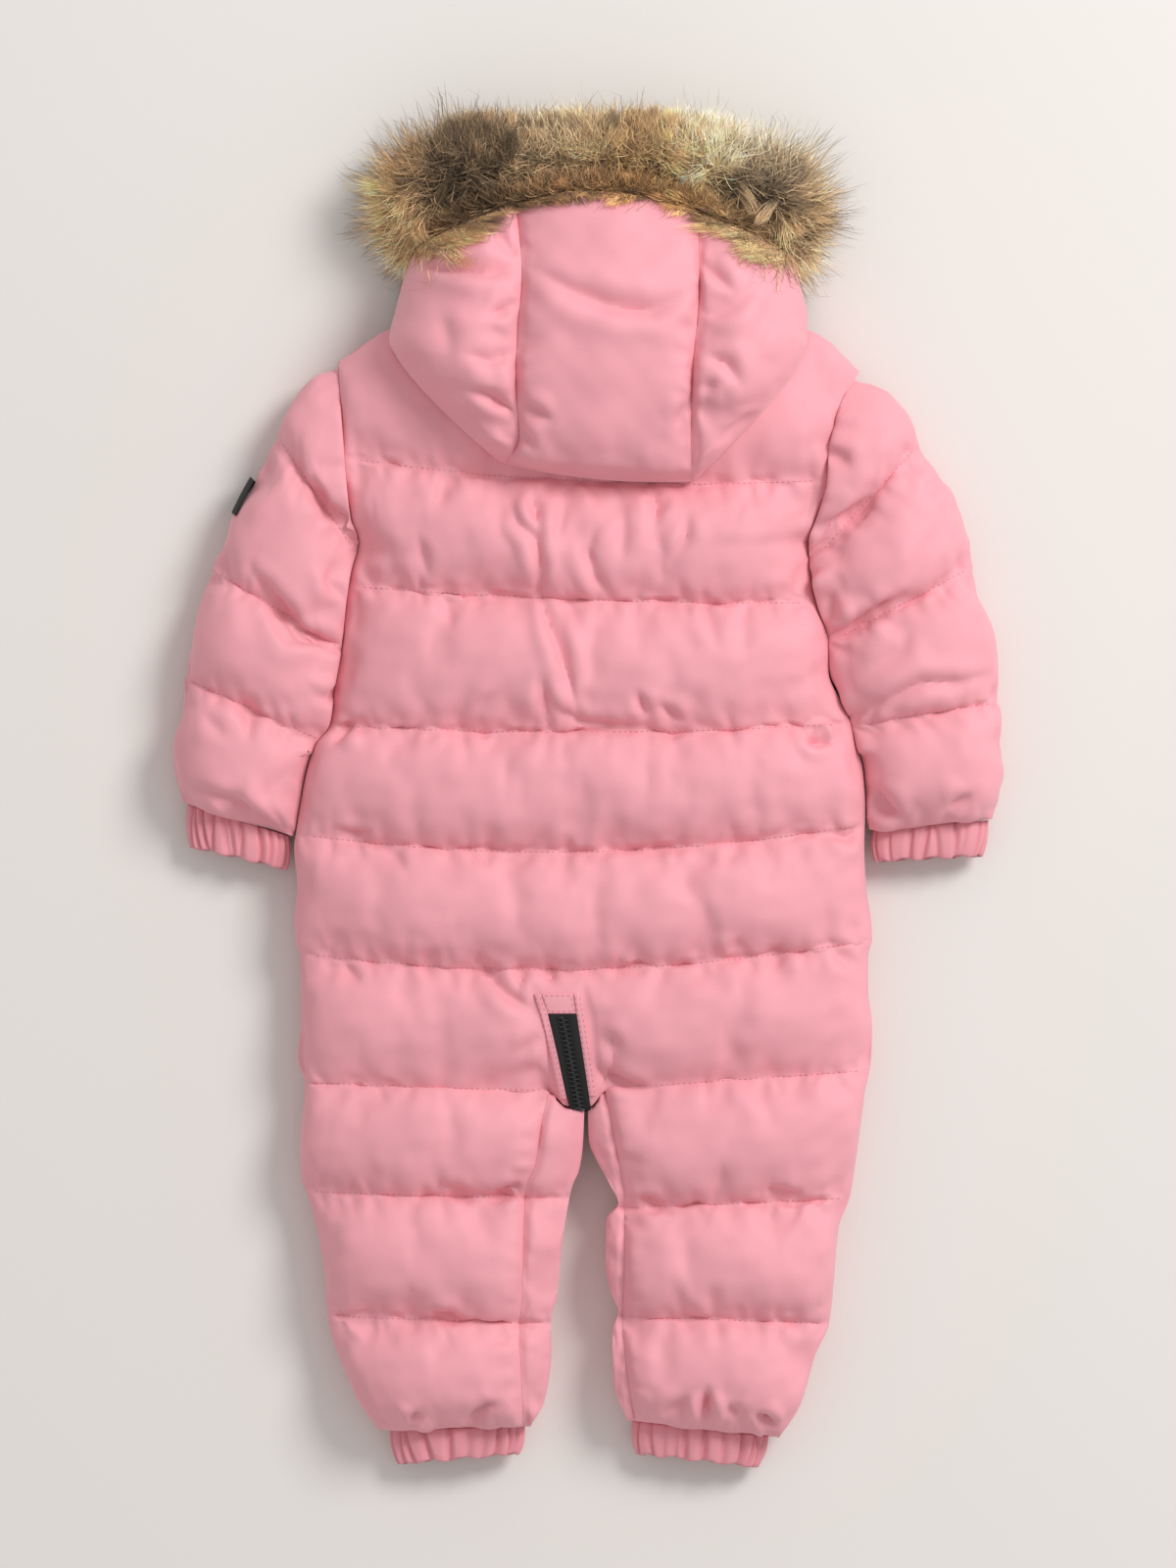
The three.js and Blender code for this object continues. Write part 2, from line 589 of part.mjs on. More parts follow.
// The strip of each leg between the inseam and its inner outline.
function innerLeg(side) {
  const left = side === "left";
  const [inseam, contour, outerEdge, legs] = left
    ? [inseamLeft, contourLeft, leftEdge, legLinesLeft]
    : [inseamRight, contourRight, rightEdge, legLinesRight];
  const points = [];
  const rows = [];
  const columns = 4;
  const crotchClearance = 1.1;
  for (let k = 0; k < 3; k++) {
    for (const f of [...pillowSteps, ...(k === 2 ? [1] : [])]) {
      const y = lerp(legs[k].yInner, legs[k + 1].yInner, f);
      const from = read(inseam, y) + (left ? seamGap : -seamGap) * 1.6;
      const to = read(contour, y);
      const top = quilted(legs[k], legs[k + 1], f);
      const row = [];
      for (let c = 0; c <= columns; c++) {
        const x = lerp(from, to, c / columns);
        const crotchTop = read(crotchLine, x) - crotchClearance;
        const yPoint = k === 0 ? Math.min(y, crotchTop - f * 12) : y;
        row.push(points.push([x, yPoint, legProfile(x, y, top, outerEdge, contour)]) - 1);
      }
      rows.push(left ? row : row.reverse());
    }
  }
  const ladder = fullEnds(rows);
  const innerZ = partingZ + seamGap / 2;
  return slab(`inner_leg_${side}`, "shell", points, gridTriangles(rows), [ladder], innerZ);
}

// The torso's side edge as its rows of points give it, for the sleeve that is sewn to it.
function sewnEdge(side) {
  const [key, table] = side === "left" ? ["yLeft", leftEdge] : ["yRight", rightEdge];
  const rows = [];
  for (let k = 0; k < 6; k++) {
    for (const f of pillowSteps) {
      const y = lerp(quiltLines[k][key], quiltLines[k + 1][key], f);
      rows.push([y, read(table, y)]);
    }
  }
  return rows;
}

// Ring of a sleeve in channel k at share f: its outer points and its slit.
function sleeveRing(side, k, f) {
  const sign = side === "left" ? -1 : 1;
  const edge = sewnEdge(side);
  const rows = sleeveRows[side];
  const [row, next] = [rows[k], rows[k + 1]];
  const bulgeSkew = k === 0 ? 0.75 : side === "left" && k === 3 ? 1.7 : 1;
  const bulge = row.bulge * Math.sin(Math.PI * Math.pow(f, bulgeSkew));
  const a = [lerp(row.a[0], next.a[0], f) + sign * bulge, lerp(row.a[1], next.a[1], f)];
  const b = [lerp(row.b[0], next.b[0], f), lerp(row.b[1], next.b[1], f)];
  const bodySide = read(edge, b[1]) + sign * 1.4;
  b[0] = sign < 0 ? Math.min(b[0], bodySide) : Math.max(b[0], bodySide);
  const top = row.crest ? quilted(row, next, f) : row.groove;
  const straighten = k === 0 ? smooth(0, 0.6, f) : 1;
  const [sewnGap, lowerGap] = [0.7, 2.6]; // clear of the body's edge, above and below the parting
  const at = (t, gap) => {
    const p = [lerp(a[0], b[0], t), lerp(a[1], b[1], t)];
    const seamX = read(edge, p[1]) + sign * gap;
    return [lerp(seamX, p[0], straighten), p[1]];
  };
  const outer = [];
  const inner = [];
  const zOf = (s, up) => {
    if (up) return sleevePartingZ + (top - sleevePartingZ) * dome(s);
    return sleevePartingZ * (1 - Math.pow(1 - Math.pow(Math.abs(s), 6), 0.5));
  };
  for (let i = 0; i < upperSteps + lowerSteps; i++) {
    const up = i <= upperSteps;
    const angle = up ? (Math.PI * i) / upperSteps : Math.PI - (Math.PI * (i - upperSteps)) / lowerSteps;
    const s = -Math.cos(angle);
    const [x, y] = at((s + 1) / 2, up ? sewnGap : lowerGap);
    outer.push([x, y, zOf(s, up)]);
    const width = Math.hypot(b[0] - a[0], b[1] - a[1]) / 2;
    const inset = s * (1 - sleeveEdge / width);
    const [xi, yi] = at((inset + 1) / 2, sewnGap);
    const slit = (sleeveSlit / 2) * Math.sin(angle) * (up ? 1 : -1);
    inner.push([xi, yi, sleevePartingZ + slit]);
  }
  return { outer, inner };
}

function sleeve(side) {
  const rings = [];
  const steps = pillowSteps.filter((_, i) => i !== 3);
  for (let k = 0; k < 4; k++) {
    for (const f of [...steps, ...(k === 3 ? [1] : [])]) {
      rings.push(sleeveRing(side, k, f));
    }
  }
  return facingOut(tube(`sleeve_${side}`, "shell", rings.map((r) => r.outer), rings.map((r) => r.inner)));
}

// A gathered cuff: a pleated ring, open right through.
function cuff(name) {
  const { from, to, pleats } = cuffRows[name];
  const outer = [];
  const inner = [];
  for (const t of [0, 0.12, 0.85, 1]) {
    const a = [lerp(from[0][0], to[0][0], t), lerp(from[0][1], to[0][1], t)];
    const b = [lerp(from[1][0], to[1][0], t), lerp(from[1][1], to[1][1], t)];
    const half = Math.hypot(b[0] - a[0], b[1] - a[1]) / 2;
    const ring = (inset, depth) => {
      const list = [];
      for (let i = 0; i < pleats * 2; i++) {
        const angle = (Math.PI * i) / pleats;
        const fold = depth * (i % 2 ? 1 : 0.15 * (1 + wave(i, 3)));
        const s = Math.cos(angle) * (1 - (inset + fold) / half);
        const z = cuffMiddleZ + Math.sin(angle) * (cuffHalfHeight - inset - fold);
        const w = (s + 1) / 2;
        list.push([lerp(a[0], b[0], w), lerp(a[1], b[1], w), Math.max(0.2, z)]);
      }
      return list;
    };
    const deep = t < 0.1 ? 0.9 : 1;
    outer.push(ring(0, pleatDepth * deep));
    inner.push(ring(cuffWall, 0));
  }
  return facingOut(tube(name, "cuff", outer, inner));
}

// Highest point of a surface of triangles over a place, or 0 beside it.
function heightOver(surfaces, x, y) {
  let best = 0;
  for (const { points, triangles } of surfaces) {
    for (const [i, j, k] of triangles) {
      const [p, q, r] = [points[i], points[j], points[k]];
      const area = (q[0] - p[0]) * (r[1] - p[1]) - (r[0] - p[0]) * (q[1] - p[1]);
      if (Math.abs(area) < 1e-9) continue;
      const v = ((x - p[0]) * (r[1] - p[1]) - (r[0] - p[0]) * (y - p[1])) / area;
      const w = ((q[0] - p[0]) * (y - p[1]) - (x - p[0]) * (q[1] - p[1])) / area;
      if (v < -1e-6 || w < -1e-6 || v + w > 1 + 1e-6) continue;
      best = Math.max(best, p[2] + v * (q[2] - p[2]) + w * (r[2] - p[2]));
    }
  }
  return best;
}

function surfaceOf(mesh) {
  const p = mesh.geometry.attributes.position;
  const index = Array.from(mesh.geometry.index.array);
  const points = Array.from({ length: p.count }, (_, i) => [p.getX(i), p.getY(i), p.getZ(i)]);
  const triangles = [];
  for (let i = 0; i < index.length; i += 3) triangles.push([index[i], index[i + 1], index[i + 2]]);
  return { points, triangles };
}

// The hood: a centre panel and two side panels over the hollow for the head. They lie on the yoke below
// the neck.
function hoodPanels(below) {
  const steps = 2;
  const clearance = 0.8;
  const near = [[0, 0], [5, 0], [-5, 0], [0, 5], [0, -5], [4, 4], [-4, 4], [4, -4], [-4, -4]];
  const under = (x, y) => Math.max(...near.map(([dx, dy]) => heightOver(below, x + dx, y + dy)));
  const innerAt = (x, y, z, rimInner) => {
    const arch = Math.max(z - hoodWall, rimInner);
    const support = under(x, y);
    const rested = support > 0 ? support + clearance : arch;
    const share = smooth(neckY.open, neckY.closed, y);
    const low = Math.max(lerp(arch, rested, share), support > 0 ? support + clearance : 0);
    return Math.min(low, z - edgeThickness);
  };
  const rowAt = (side, v) => {
    const rows = hoodRows[side];
    const i = Math.min(rows.length - 2, Math.floor(v));
    const t = v - i;
    const mix = (key) => [0, 1].map((c) => lerp(rows[i][key][c], rows[i + 1][key][c], t));
    const height = (key) => lerp(hoodHeights[i][key], hoodHeights[i + 1][key], t);
    return {
      seam: mix("seam"),
      rim: mix("rim"),
      seamZ: height("seam"),
      rimZ: height("rim"),
      rimInner: height("rimInner"),
      sag: lerp(hoodCentreSag[i], hoodCentreSag[i + 1], t),
    };
  };
  const stations = [];
  for (let v = 0; v < 6.6; v += 1 / steps) stations.push(v);
  stations.push(6.8, 6.93, 7);
  const tuckedUnder = (v) => tuckDepth * Math.pow(smooth(6.4, 7, v), 3);
  const build = (name, rowPoints) => {
    const outerPoints = [];
    const innerPoints = [];
    const rows = stations.map((v) =>
      rowPoints(v).map(([x, y, z, rimInner]) => {
        outerPoints.push([x, y, z]);
        innerPoints.push([x, y, innerAt(x, y, z, rimInner)]);
        return outerPoints.length - 1;
      }),
    );
    return wall(name, "shell", outerPoints, innerPoints, gridTriangles(rows));
  };
  const sideShares = [0, 0.06, 0.16, 0.32, 0.55, 0.8, 1];
  const sideRow = (side) => (v) => {
    const { seam, rim, seamZ, rimZ, rimInner } = rowAt(side, v);
    const sign = side === "left" ? -1 : 1;
    const row = sideShares.map((t) => {
      const x = lerp(rim[0], seam[0] + sign * (seamGap / 2), t);
      const y = lerp(rim[1], seam[1], t);
      const rise = Math.pow(1 - Math.pow(1 - t, 2.6), 0.6);
      const puff = hoodPuff * Math.sin(Math.PI * t) * (v < 6.5 ? 1 : 0.3);
      return [x, y, lerp(rimZ, seamZ, rise) + puff - tuckedUnder(v), rimInner];
    });
    return side === "left" ? row : row.reverse();
  };
  const centreRow = (v) => {
    const [left, right] = [rowAt("left", v), rowAt("right", v)];
    return [0, 0.15, 0.35, 0.5, 0.65, 0.85, 1].map((t) => {
      const x = lerp(left.seam[0] + seamGap / 2, right.seam[0] - seamGap / 2, t);
      const arc = 4 * t * (1 - t);
      const y = lerp(left.seam[1], right.seam[1], t) + lerp(left.sag, right.sag, t) * arc;
      return [x, y, left.seamZ + hoodPuff * arc - tuckedUnder(v), 0];
    });
  };
  return [
    build("hood_side_left", sideRow("left")),
    build("hood_centre", centreRow),
    build("hood_side_right", sideRow("right")),
  ];
}

// The outline of the hood seen from above, grown by a clearance, as a block over the fur's lower part.
function hoodBlock(grow, fromZ, toZ) {
  const rims = [
    ...hoodRows.left.map((r) => r.rim),
    ...hoodRows.right.map((r) => r.rim).reverse(),
    hoodRows.right[0].seam,
    [lerp(hoodRows.left[0].seam[0], hoodRows.right[0].seam[0], 0.75), 351 + hoodCentreSag[0] * 0.75],
    [lerp(hoodRows.left[0].seam[0], hoodRows.right[0].seam[0], 0.5), 352 + hoodCentreSag[0]],
    [lerp(hoodRows.left[0].seam[0], hoodRows.right[0].seam[0], 0.25), 353 + hoodCentreSag[0] * 0.75],
    hoodRows.left[0].seam,
  ];
  const grown = rims.map((p, i) => {
    const [before, after] = [rims[(i + rims.length - 1) % rims.length], rims[(i + 1) % rims.length]];
    const along = new THREE.Vector2(after[0] - before[0], after[1] - before[1]).normalize();
    return new THREE.Vector2(p[0] - along.y * -grow, p[1] - along.x * grow);
  });
  const shape = new THREE.Shape(grown);
  const geometry = new THREE.ExtrudeGeometry(shape, { depth: toZ - fromZ, bevelEnabled: false });
  geometry.translate(0, 0, fromZ);
  return geometry;
}

function solidOfClosed(geometry) {
  const seen = new Map();
  const vertices = [];
  const p = geometry.attributes.position;
  const listed = Array.from({ length: p.count }, (_, i) => i);
  const order = geometry.index ? Array.from(geometry.index.array) : listed;
  const triVerts = order.map((i) => {
    const key = [p.getX(i), p.getY(i), p.getZ(i)].map((n) => n.toFixed(3)).join();
    if (!seen.has(key)) {
      seen.set(key, vertices.length / 3);
      vertices.push(p.getX(i), p.getY(i), p.getZ(i));
    }
    return seen.get(key);
  });
  const vertProperties = new Float32Array(vertices);
  const mesh = new wasm.Mesh({ numProp: 3, vertProperties, triVerts: new Uint32Array(triVerts) });
  return new wasm.Manifold(mesh);
}

// The fur trim: one tufted roll round the face opening, flat where it rests.
function furTrim() {
  const centres = furPath.map((p) => new THREE.Vector3(p.x, p.y, p.z));
  const path = new THREE.CatmullRomCurve3(centres, false, "catmullrom", 0.5);
  const squarish = (v) => Math.sign(v) * Math.pow(Math.abs(v), 0.8);
  const stations = 46;
  const around = 16;
  const points = [];
  const rows = [];
  const at = (key, t) => {
    const v = t * (furPath.length - 1);
    const i = Math.min(furPath.length - 2, Math.floor(v));
    return lerp(furPath[i][key], furPath[i + 1][key], v - i);
  };
  for (let s = 0; s <= stations; s++) {
    const t = s / stations;
    const centre = path.getPoint(t);
    const tangent = path.getTangent(t);
    const side = new THREE.Vector2(-tangent.y, tangent.x).normalize();
    const endShare = Math.sqrt(clamp01(Math.min(t, 1 - t) * 14 + 0.08));
    const row = [];
    for (let i = 0; i < around; i++) {
      const angle = (Math.PI * 2 * i) / around;
      const tuft = 1 + furTufts.depth * wave(i * furTufts.around * 0.13, s * 0.71);
      const out = squarish(Math.cos(angle)) * at("half", t) * tuft * endShare;
      const upperTuft = Math.sin(angle) > 0 ? tuft : 1;
      const up = squarish(Math.sin(angle)) * at("high", t) * upperTuft * endShare;
      const z = Math.max(0, centre.z + up);
      row.push(points.push([centre.x + side.x * out, centre.y + side.y * out, z]) - 1);
    }
    rows.push([...row, row[0]]);
  }
  const triangles = gridTriangles(rows);
  for (const [s, flip] of [[0, true], [stations, false]]) {
    const ring = rows[s].slice(0, around);
    for (let i = 1; i < around - 1; i++) {
      triangles.push(flip ? [ring[0], ring[i], ring[i + 1]] : [ring[0], ring[i + 1], ring[i]]);
    }
  }
  const roll = solidOf(facingOut(meshOf("fur_roll", "fur", points, triangles)));
  const block = solidOfClosed(hoodBlock(1.2, 13.4, 200));
  const pieces = roll.subtract(block).decompose().sort((a, b) => b.volume() - a.volume());
  return meshFrom("fur_trim", "fur", pieces[0]);
}

// The zip tape: one strip from the back, round the crotch and up the front to the neck.
function zipTape(back) {
  const over = (x, y) => heightOver([back], x, y);
  const stations = [];
  for (const y of [-139.5, -146, -152, -158, -164, -170, -176, -181, -186, -190, -193.4]) {
    const x = read(zipBack, y);
    const half = read(zipBack, y, 2);
    const z = Math.max(over(x - half, y), over(x, y), over(x + half, y));
    stations.push({ x, y, z: z + tapeLift + tapeThickness / 2, half });
  }
  const lip = stations[stations.length - 1];
  stations.push(
    { x: -5.6, y: -196.2, z: lip.z - 0.9, half: 6.5 },
    { x: -5.4, y: -197.4, z: lip.z - 3, half: 6.5 },
    { x: -4.6, y: -197.9, z: 20, half: 6.6 },
    { x: -3, y: -197.9, z: 8, half: 6.8 },
    { x: -2.4, y: -196.6, z: 3.2, half: 6.9 },
    { x: -1.8, y: -194, z: 1.6, half: 7 },
    { x: zipCentreX, y: -188, z: 1.4, half: zipWidth / 2 },
    { x: zipCentreX, y: 40, z: 1.4, half: zipWidth / 2 },
    { x: zipCentreX, y: 255, z: 1.4, half: zipWidth / 2 },
  );
  const points = [];
  const rings = stations.map((s, i) => {
    const [a, b] = [stations[Math.max(0, i - 1)], stations[Math.min(stations.length - 1, i + 1)]];
    const along = new THREE.Vector2(b.y - a.y, b.z - a.z).normalize();
    const [ny, nz] = [along.y, -along.x].map((n) => (n * tapeThickness) / 2);
    return [
      [s.x - s.half, s.y - ny, s.z - nz],
      [s.x + s.half, s.y - ny, s.z - nz],
      [s.x + s.half, s.y + ny, s.z + nz],
      [s.x - s.half, s.y + ny, s.z + nz],
    ].map((p) => points.push(p) - 1);
  });
  const triangles = gridTriangles(rings.map((r) => [...r, r[0]]));
  for (const [ring, flip] of [[rings[0], true], [rings[rings.length - 1], false]]) {
    const [a, b, c, d] = ring;
    triangles.push(...(flip ? [[a, b, c], [a, c, d]] : [[a, c, b], [a, d, c]]));
  }
  return facingOut(meshOf("zip_tape", "zip", points, triangles));
}

// A flat strip that lies on the back panel: rows of outer corners, moved out from the panel's own surface.
function stripOn(name, look, back, rows, lift, thickness) {
  const low = [];
  const high = [];
  const index = rows.map((row) =>
    row.map(([x, y]) => {
      const z = heightOver([back], x, y) + lift;
      low.push([x, y, z]);
      high.push([x, y, z + thickness]);
      return high.length - 1;
    }),
  );
  return wall(name, look, high, low, gridTriangles(index));
}

function zipFacings(back) {
  const strip = (side) => {
    const sign = side === "left" ? -1 : 1;
    const rows = [];
    const end = side === "left" ? -189.6 : -187.8;
    for (let r = 0; r <= 14; r++) {
      const y = lerp(-127.5, end, r / 14);
      const edge = read(zipBack, y) + sign * (read(zipBack, y, 2) + 0.7);
      const across = [0, 0.5, 1].map((t) => [edge + sign * facingWidth * t, y]);
      rows.push(side === "left" ? across.reverse() : across);
    }
    return stripOn(`zip_facing_${side}`, "shell", back, rows, 0.8, 1.3);
  };
  const tabRows = [];
  for (const y of [-126.8, -130, -133.4, -136.8]) {
    tabRows.push([-1, -0.5, 0, 0.5, 1].map((t) => [read(zipBack, y) + t * (read(zipBack, y, 2) - 0.2), y]));
  }
  return [strip("left"), strip("right"), stripOn("zip_end_tab", "shell", back, tabRows, 0.7, 1.2)];
}

// Distance from a sleeve's outer edge to its surface at a height.
function sleeveInset(z, top, half) {
  const up = z >= sleevePartingZ;
  const share = up ? (z - sleevePartingZ) / (top - sleevePartingZ) : 1 - z / sleevePartingZ;
  const s = up ? Math.pow(1 - Math.pow(share, 1 / 0.55), 1 / 2.6) : Math.pow(1 - share * share, 1 / 6);
  return (1 - s) * half;
}

// The woven patch that wraps the outer edge of the left sleeve.
function sleevePatch() {
  const { channel, from, to, heights, lift, thickness } = patchSpan;
  const outer = [];
  const inner = [];
  const rows = [];
  for (let r = 0; r <= 5; r++) {
    const f = lerp(from, to, r / 5);
    const ring = sleeveRing("left", channel, f).outer;
    const [edge, far] = [ring[0], ring[upperSteps]];
    const inward = new THREE.Vector2(far[0] - edge[0], far[1] - edge[1]);
    const half = inward.length() / 2;
    inward.normalize();
    const top = quilted(sleeveRows.left[channel], sleeveRows.left[channel + 1], f);
    rows.push(
      heights.map((z) => {
        const inset = (height) => sleeveInset(height, top, half);
        const slope = inset(z + 0.5) - inset(z - 0.5);
        const [nOut, nUp] = [1 / Math.hypot(1, slope), slope / Math.hypot(1, slope)];
        const place = (distance) => {
          const d = inset(z) - nOut * distance;
          return [edge[0] + inward.x * d, edge[1] + inward.y * d, z + nUp * distance];
        };
        inner.push(place(lift));
        return outer.push(place(lift + thickness)) - 1;
      }),
    );
  }
  return facingOut(wall("sleeve_patch", "patch", outer, inner, gridTriangles(rows)));
}

const suit = new THREE.Group();
const back = backPanel();
const backSurface = { points: back.points, triangles: back.triangles };
suit.add(back.mesh);

// The front panels and inner legs are cut back round the zip where it turns through the crotch.
const notch = new THREE.BoxGeometry(20, 7.7, 80);
notch.translate(-3, -196.35, 30);
const notchSolid = solidOfClosed(notch);
for (const side of ["left", "right"]) {
  const front = frontPanel(side);
  const strip = innerLeg(side);
  suit.add(meshFrom(front.name, "shell", solidOf(front).subtract(notchSolid)));
  suit.add(meshFrom(strip.name, "shell", solidOf(strip).subtract(notchSolid)));
}
const sleeves = ["left", "right"].map(sleeve);
suit.add(...sleeves);
suit.add(...Object.keys(cuffRows).map(cuff));
suit.add(...hoodPanels([backSurface, ...sleeves.map(surfaceOf)]));
suit.add(furTrim());
suit.add(zipTape(backSurface));
suit.add(...zipFacings(backSurface));
suit.add(sleevePatch());

export default suit;
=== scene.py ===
"""A baby's quilted snowsuit, laid face down on a pale surface and seen from straight above.

Lengths are millimetres up to the point where a mesh is made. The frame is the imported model's:
+Z up from the surface, +Y towards the hood, +X to the right seen from above.
"""

import math

import bpy
import numpy as np
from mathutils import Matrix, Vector
from mathutils.bvhtree import BVHTree


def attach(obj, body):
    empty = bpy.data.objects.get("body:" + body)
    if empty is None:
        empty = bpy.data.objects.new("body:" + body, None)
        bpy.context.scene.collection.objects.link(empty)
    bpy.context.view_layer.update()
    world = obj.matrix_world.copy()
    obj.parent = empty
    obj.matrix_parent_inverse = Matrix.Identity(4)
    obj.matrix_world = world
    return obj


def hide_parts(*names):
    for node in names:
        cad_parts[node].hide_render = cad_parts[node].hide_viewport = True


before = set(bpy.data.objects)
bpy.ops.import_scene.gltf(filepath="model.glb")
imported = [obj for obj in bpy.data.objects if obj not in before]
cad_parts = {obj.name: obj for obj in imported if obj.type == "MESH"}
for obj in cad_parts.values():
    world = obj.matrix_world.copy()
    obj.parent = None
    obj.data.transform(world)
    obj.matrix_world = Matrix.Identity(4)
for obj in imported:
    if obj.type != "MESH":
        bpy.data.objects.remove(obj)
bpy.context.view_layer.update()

MM = 0.001

# Driving sizes
PARTING_Z = 22.0
SEAM_GAP = 0.3
EDGE_Z = PARTING_Z + 3.0
SLEEVE_PARTING_Z = 20.0
CLOTH_STEP = 4.4  # spacing of the simulated grids; the finished ones are twice as fine
BACK_COLUMNS = (34, 8, 36)  # over the left leg, the crotch and the right leg
SETTLE_FRAMES = 18
STITCH_PITCH = 3.4
STITCH_LENGTH = 2.3
STITCH_WIDTH = 0.55
ZIP_X = -1.2
ZIP_WIDTH = 15.0
TAPE_THICKNESS = 1.0
CUFF_MIDDLE_Z = 12.4
CUFF_HALF_HEIGHT = 11.0
CUFF_WALL = 1.8
HOOD_WALL = 12.0

# Outlines: (y, x), from the hood to the ankles
LEFT_EDGE = [
    (260.1, -153.6), (235.5, -151.8), (206.7, -149.6), (181.5, -147.6), (165.3, -145.8), (149.1, -141),
    (132.9, -145.2), (108.9, -148.8), (84.9, -151.2), (60.3, -155.4), (38.7, -158.4), (24.3, -168),
    (1.5, -174.6), (-28.5, -179.4), (-36.9, -180.6), (-61.5, -178.8), (-82.5, -180.6), (-95.7, -180),
    (-103.5, -177), (-142.5, -176.4), (-166.5, -178.2), (-182.7, -174), (-202.5, -175.8), (-222.3, -177),
    (-240.9, -176.1), (-248.7, -172.8), (-265.5, -168), (-302.7, -161.6), (-323.7, -160.2), (-337.5, -157.2),
    (-354.3, -151.2), (-377.1, -141), (-393.9, -129),
]
RIGHT_EDGE = [
    (254.1, 165.6), (235.5, 154.2), (217.5, 148.8), (206.7, 146.4), (185.7, 145.2), (166.5, 139.8),
    (150.3, 134.4), (132.9, 135), (110.1, 139.8), (89.7, 146.4), (68.7, 147), (54.3, 153), (38.7, 160.2),
    (25.5, 163.2), (12.3, 167.4), (-12.3, 169.2), (-36.9, 168.6), (-61.5, 169.8), (-82.5, 172.8),
    (-93.3, 173.4), (-103.5, 171), (-122.7, 171), (-147.9, 173.4), (-166.5, 172.8), (-175.5, 171.6),
    (-185.7, 169.2), (-199.5, 167.4), (-230.7, 163.2), (-251.7, 159.6), (-269.7, 153), (-302.7, 150),
    (-328.5, 147), (-348.3, 138.3), (-377.1, 130), (-398.7, 116.4),
]
INSEAM_LEFT = [
    (-185.7, -24.6), (-208.5, -29.4), (-232.5, -33), (-244.5, -38.4), (-263.7, -39.6), (-312.9, -40.8),
    (-329.7, -42.6), (-358.5, -41.4), (-392.1, -40.2),
]
INSEAM_RIGHT = [
    (-184.5, 9.6), (-209.7, 14.4), (-232.5, 18.6), (-251.1, 21.6), (-292.5, 21.6), (-323.7, 20.4),
    (-354.3, 22.8), (-379.5, 26.4), (-388.5, 28.2),
]
CONTOUR_LEFT = [
    (-185.7, -2.4), (-202.5, -3), (-217.5, -3.6), (-234.9, -6), (-244.5, -10.2), (-255.3, -12.6),
    (-282.3, -16.8), (-312.9, -19.8), (-325.5, -23.4), (-344.1, -23.1), (-375.3, -27), (-392.1, -36),
]
CONTOUR_RIGHT = [
    (-184.5, -0.6), (-200.7, -0.6), (-216.9, 0), (-227.7, 4.2), (-242.1, 12), (-255.3, 18),
    (-265.5, 10.2), (-292.5, 10.2), (-310.5, 13.8), (-321.3, 18), (-333.9, 14.4), (-364.5, 15),
    (-388.5, 23.4),
]
TOP_LINE = [
    (0, 260.1), (0.1, 279.3), (0.2, 286.5), (0.35, 287.5), (0.49, 287.5), (0.62, 287.5), (0.78, 286.5),
    (0.9, 279.3), (1, 254.1),
]
# Quilt lines of the back: y at the left, middle and right, height of the groove and of the crest below it
QUILT_LINES = [
    dict(left=260.1, mid=287.5, right=254.1, groove=38, crest=49),
    dict(left=201.3, mid=186.3, right=187.5, groove=41, crest=55),
    dict(left=122.7, mid=114.3, right=112.5, groove=43, crest=57),
    dict(left=37.5, mid=33.3, right=38.7, groove=44, crest=58),
    dict(left=-28.5, mid=-39.9, right=-22.5, groove=44, crest=57),
    dict(left=-101.7, mid=-111.3, right=-93.3, groove=43, crest=53),
    dict(left=-181.5, mid=-190, right=-173.7, groove=40, crest=0),
]
# Quilt lines of the legs, from the outer edge to the inseam
LEG_LINES = {
    "left": [
        dict(outer=-181.5, inner=-185.7, groove=40, crest=52),
        dict(outer=-247.5, inner=-251.7, groove=38, crest=51),
        dict(outer=-323.7, inner=-328.5, groove=37, crest=48),
        dict(outer=-393.9, inner=-392.1, groove=29, crest=0),
    ],
    "right": [
        dict(outer=-173.7, inner=-184.5, groove=40, crest=52),
        dict(outer=-251.7, inner=-257.7, groove=38, crest=51),
        dict(outer=-328.5, inner=-323.7, groove=37, crest=48),
        dict(outer=-398.7, inner=-388.5, groove=29, crest=0),
    ],
}
ARMHOLES = {"left": (260.1, 149.1), "right": (254.1, 150.3)}  # y at the top and at the bottom
CROTCH_LINE = [(-24.6, -185.7), (-20, -190), (-13.5, -195.6), (1, -195.6), (9.6, -184.5)]
CROTCH_SHARES = (0.434, 0.533)
CROTCH_Z = 33.0

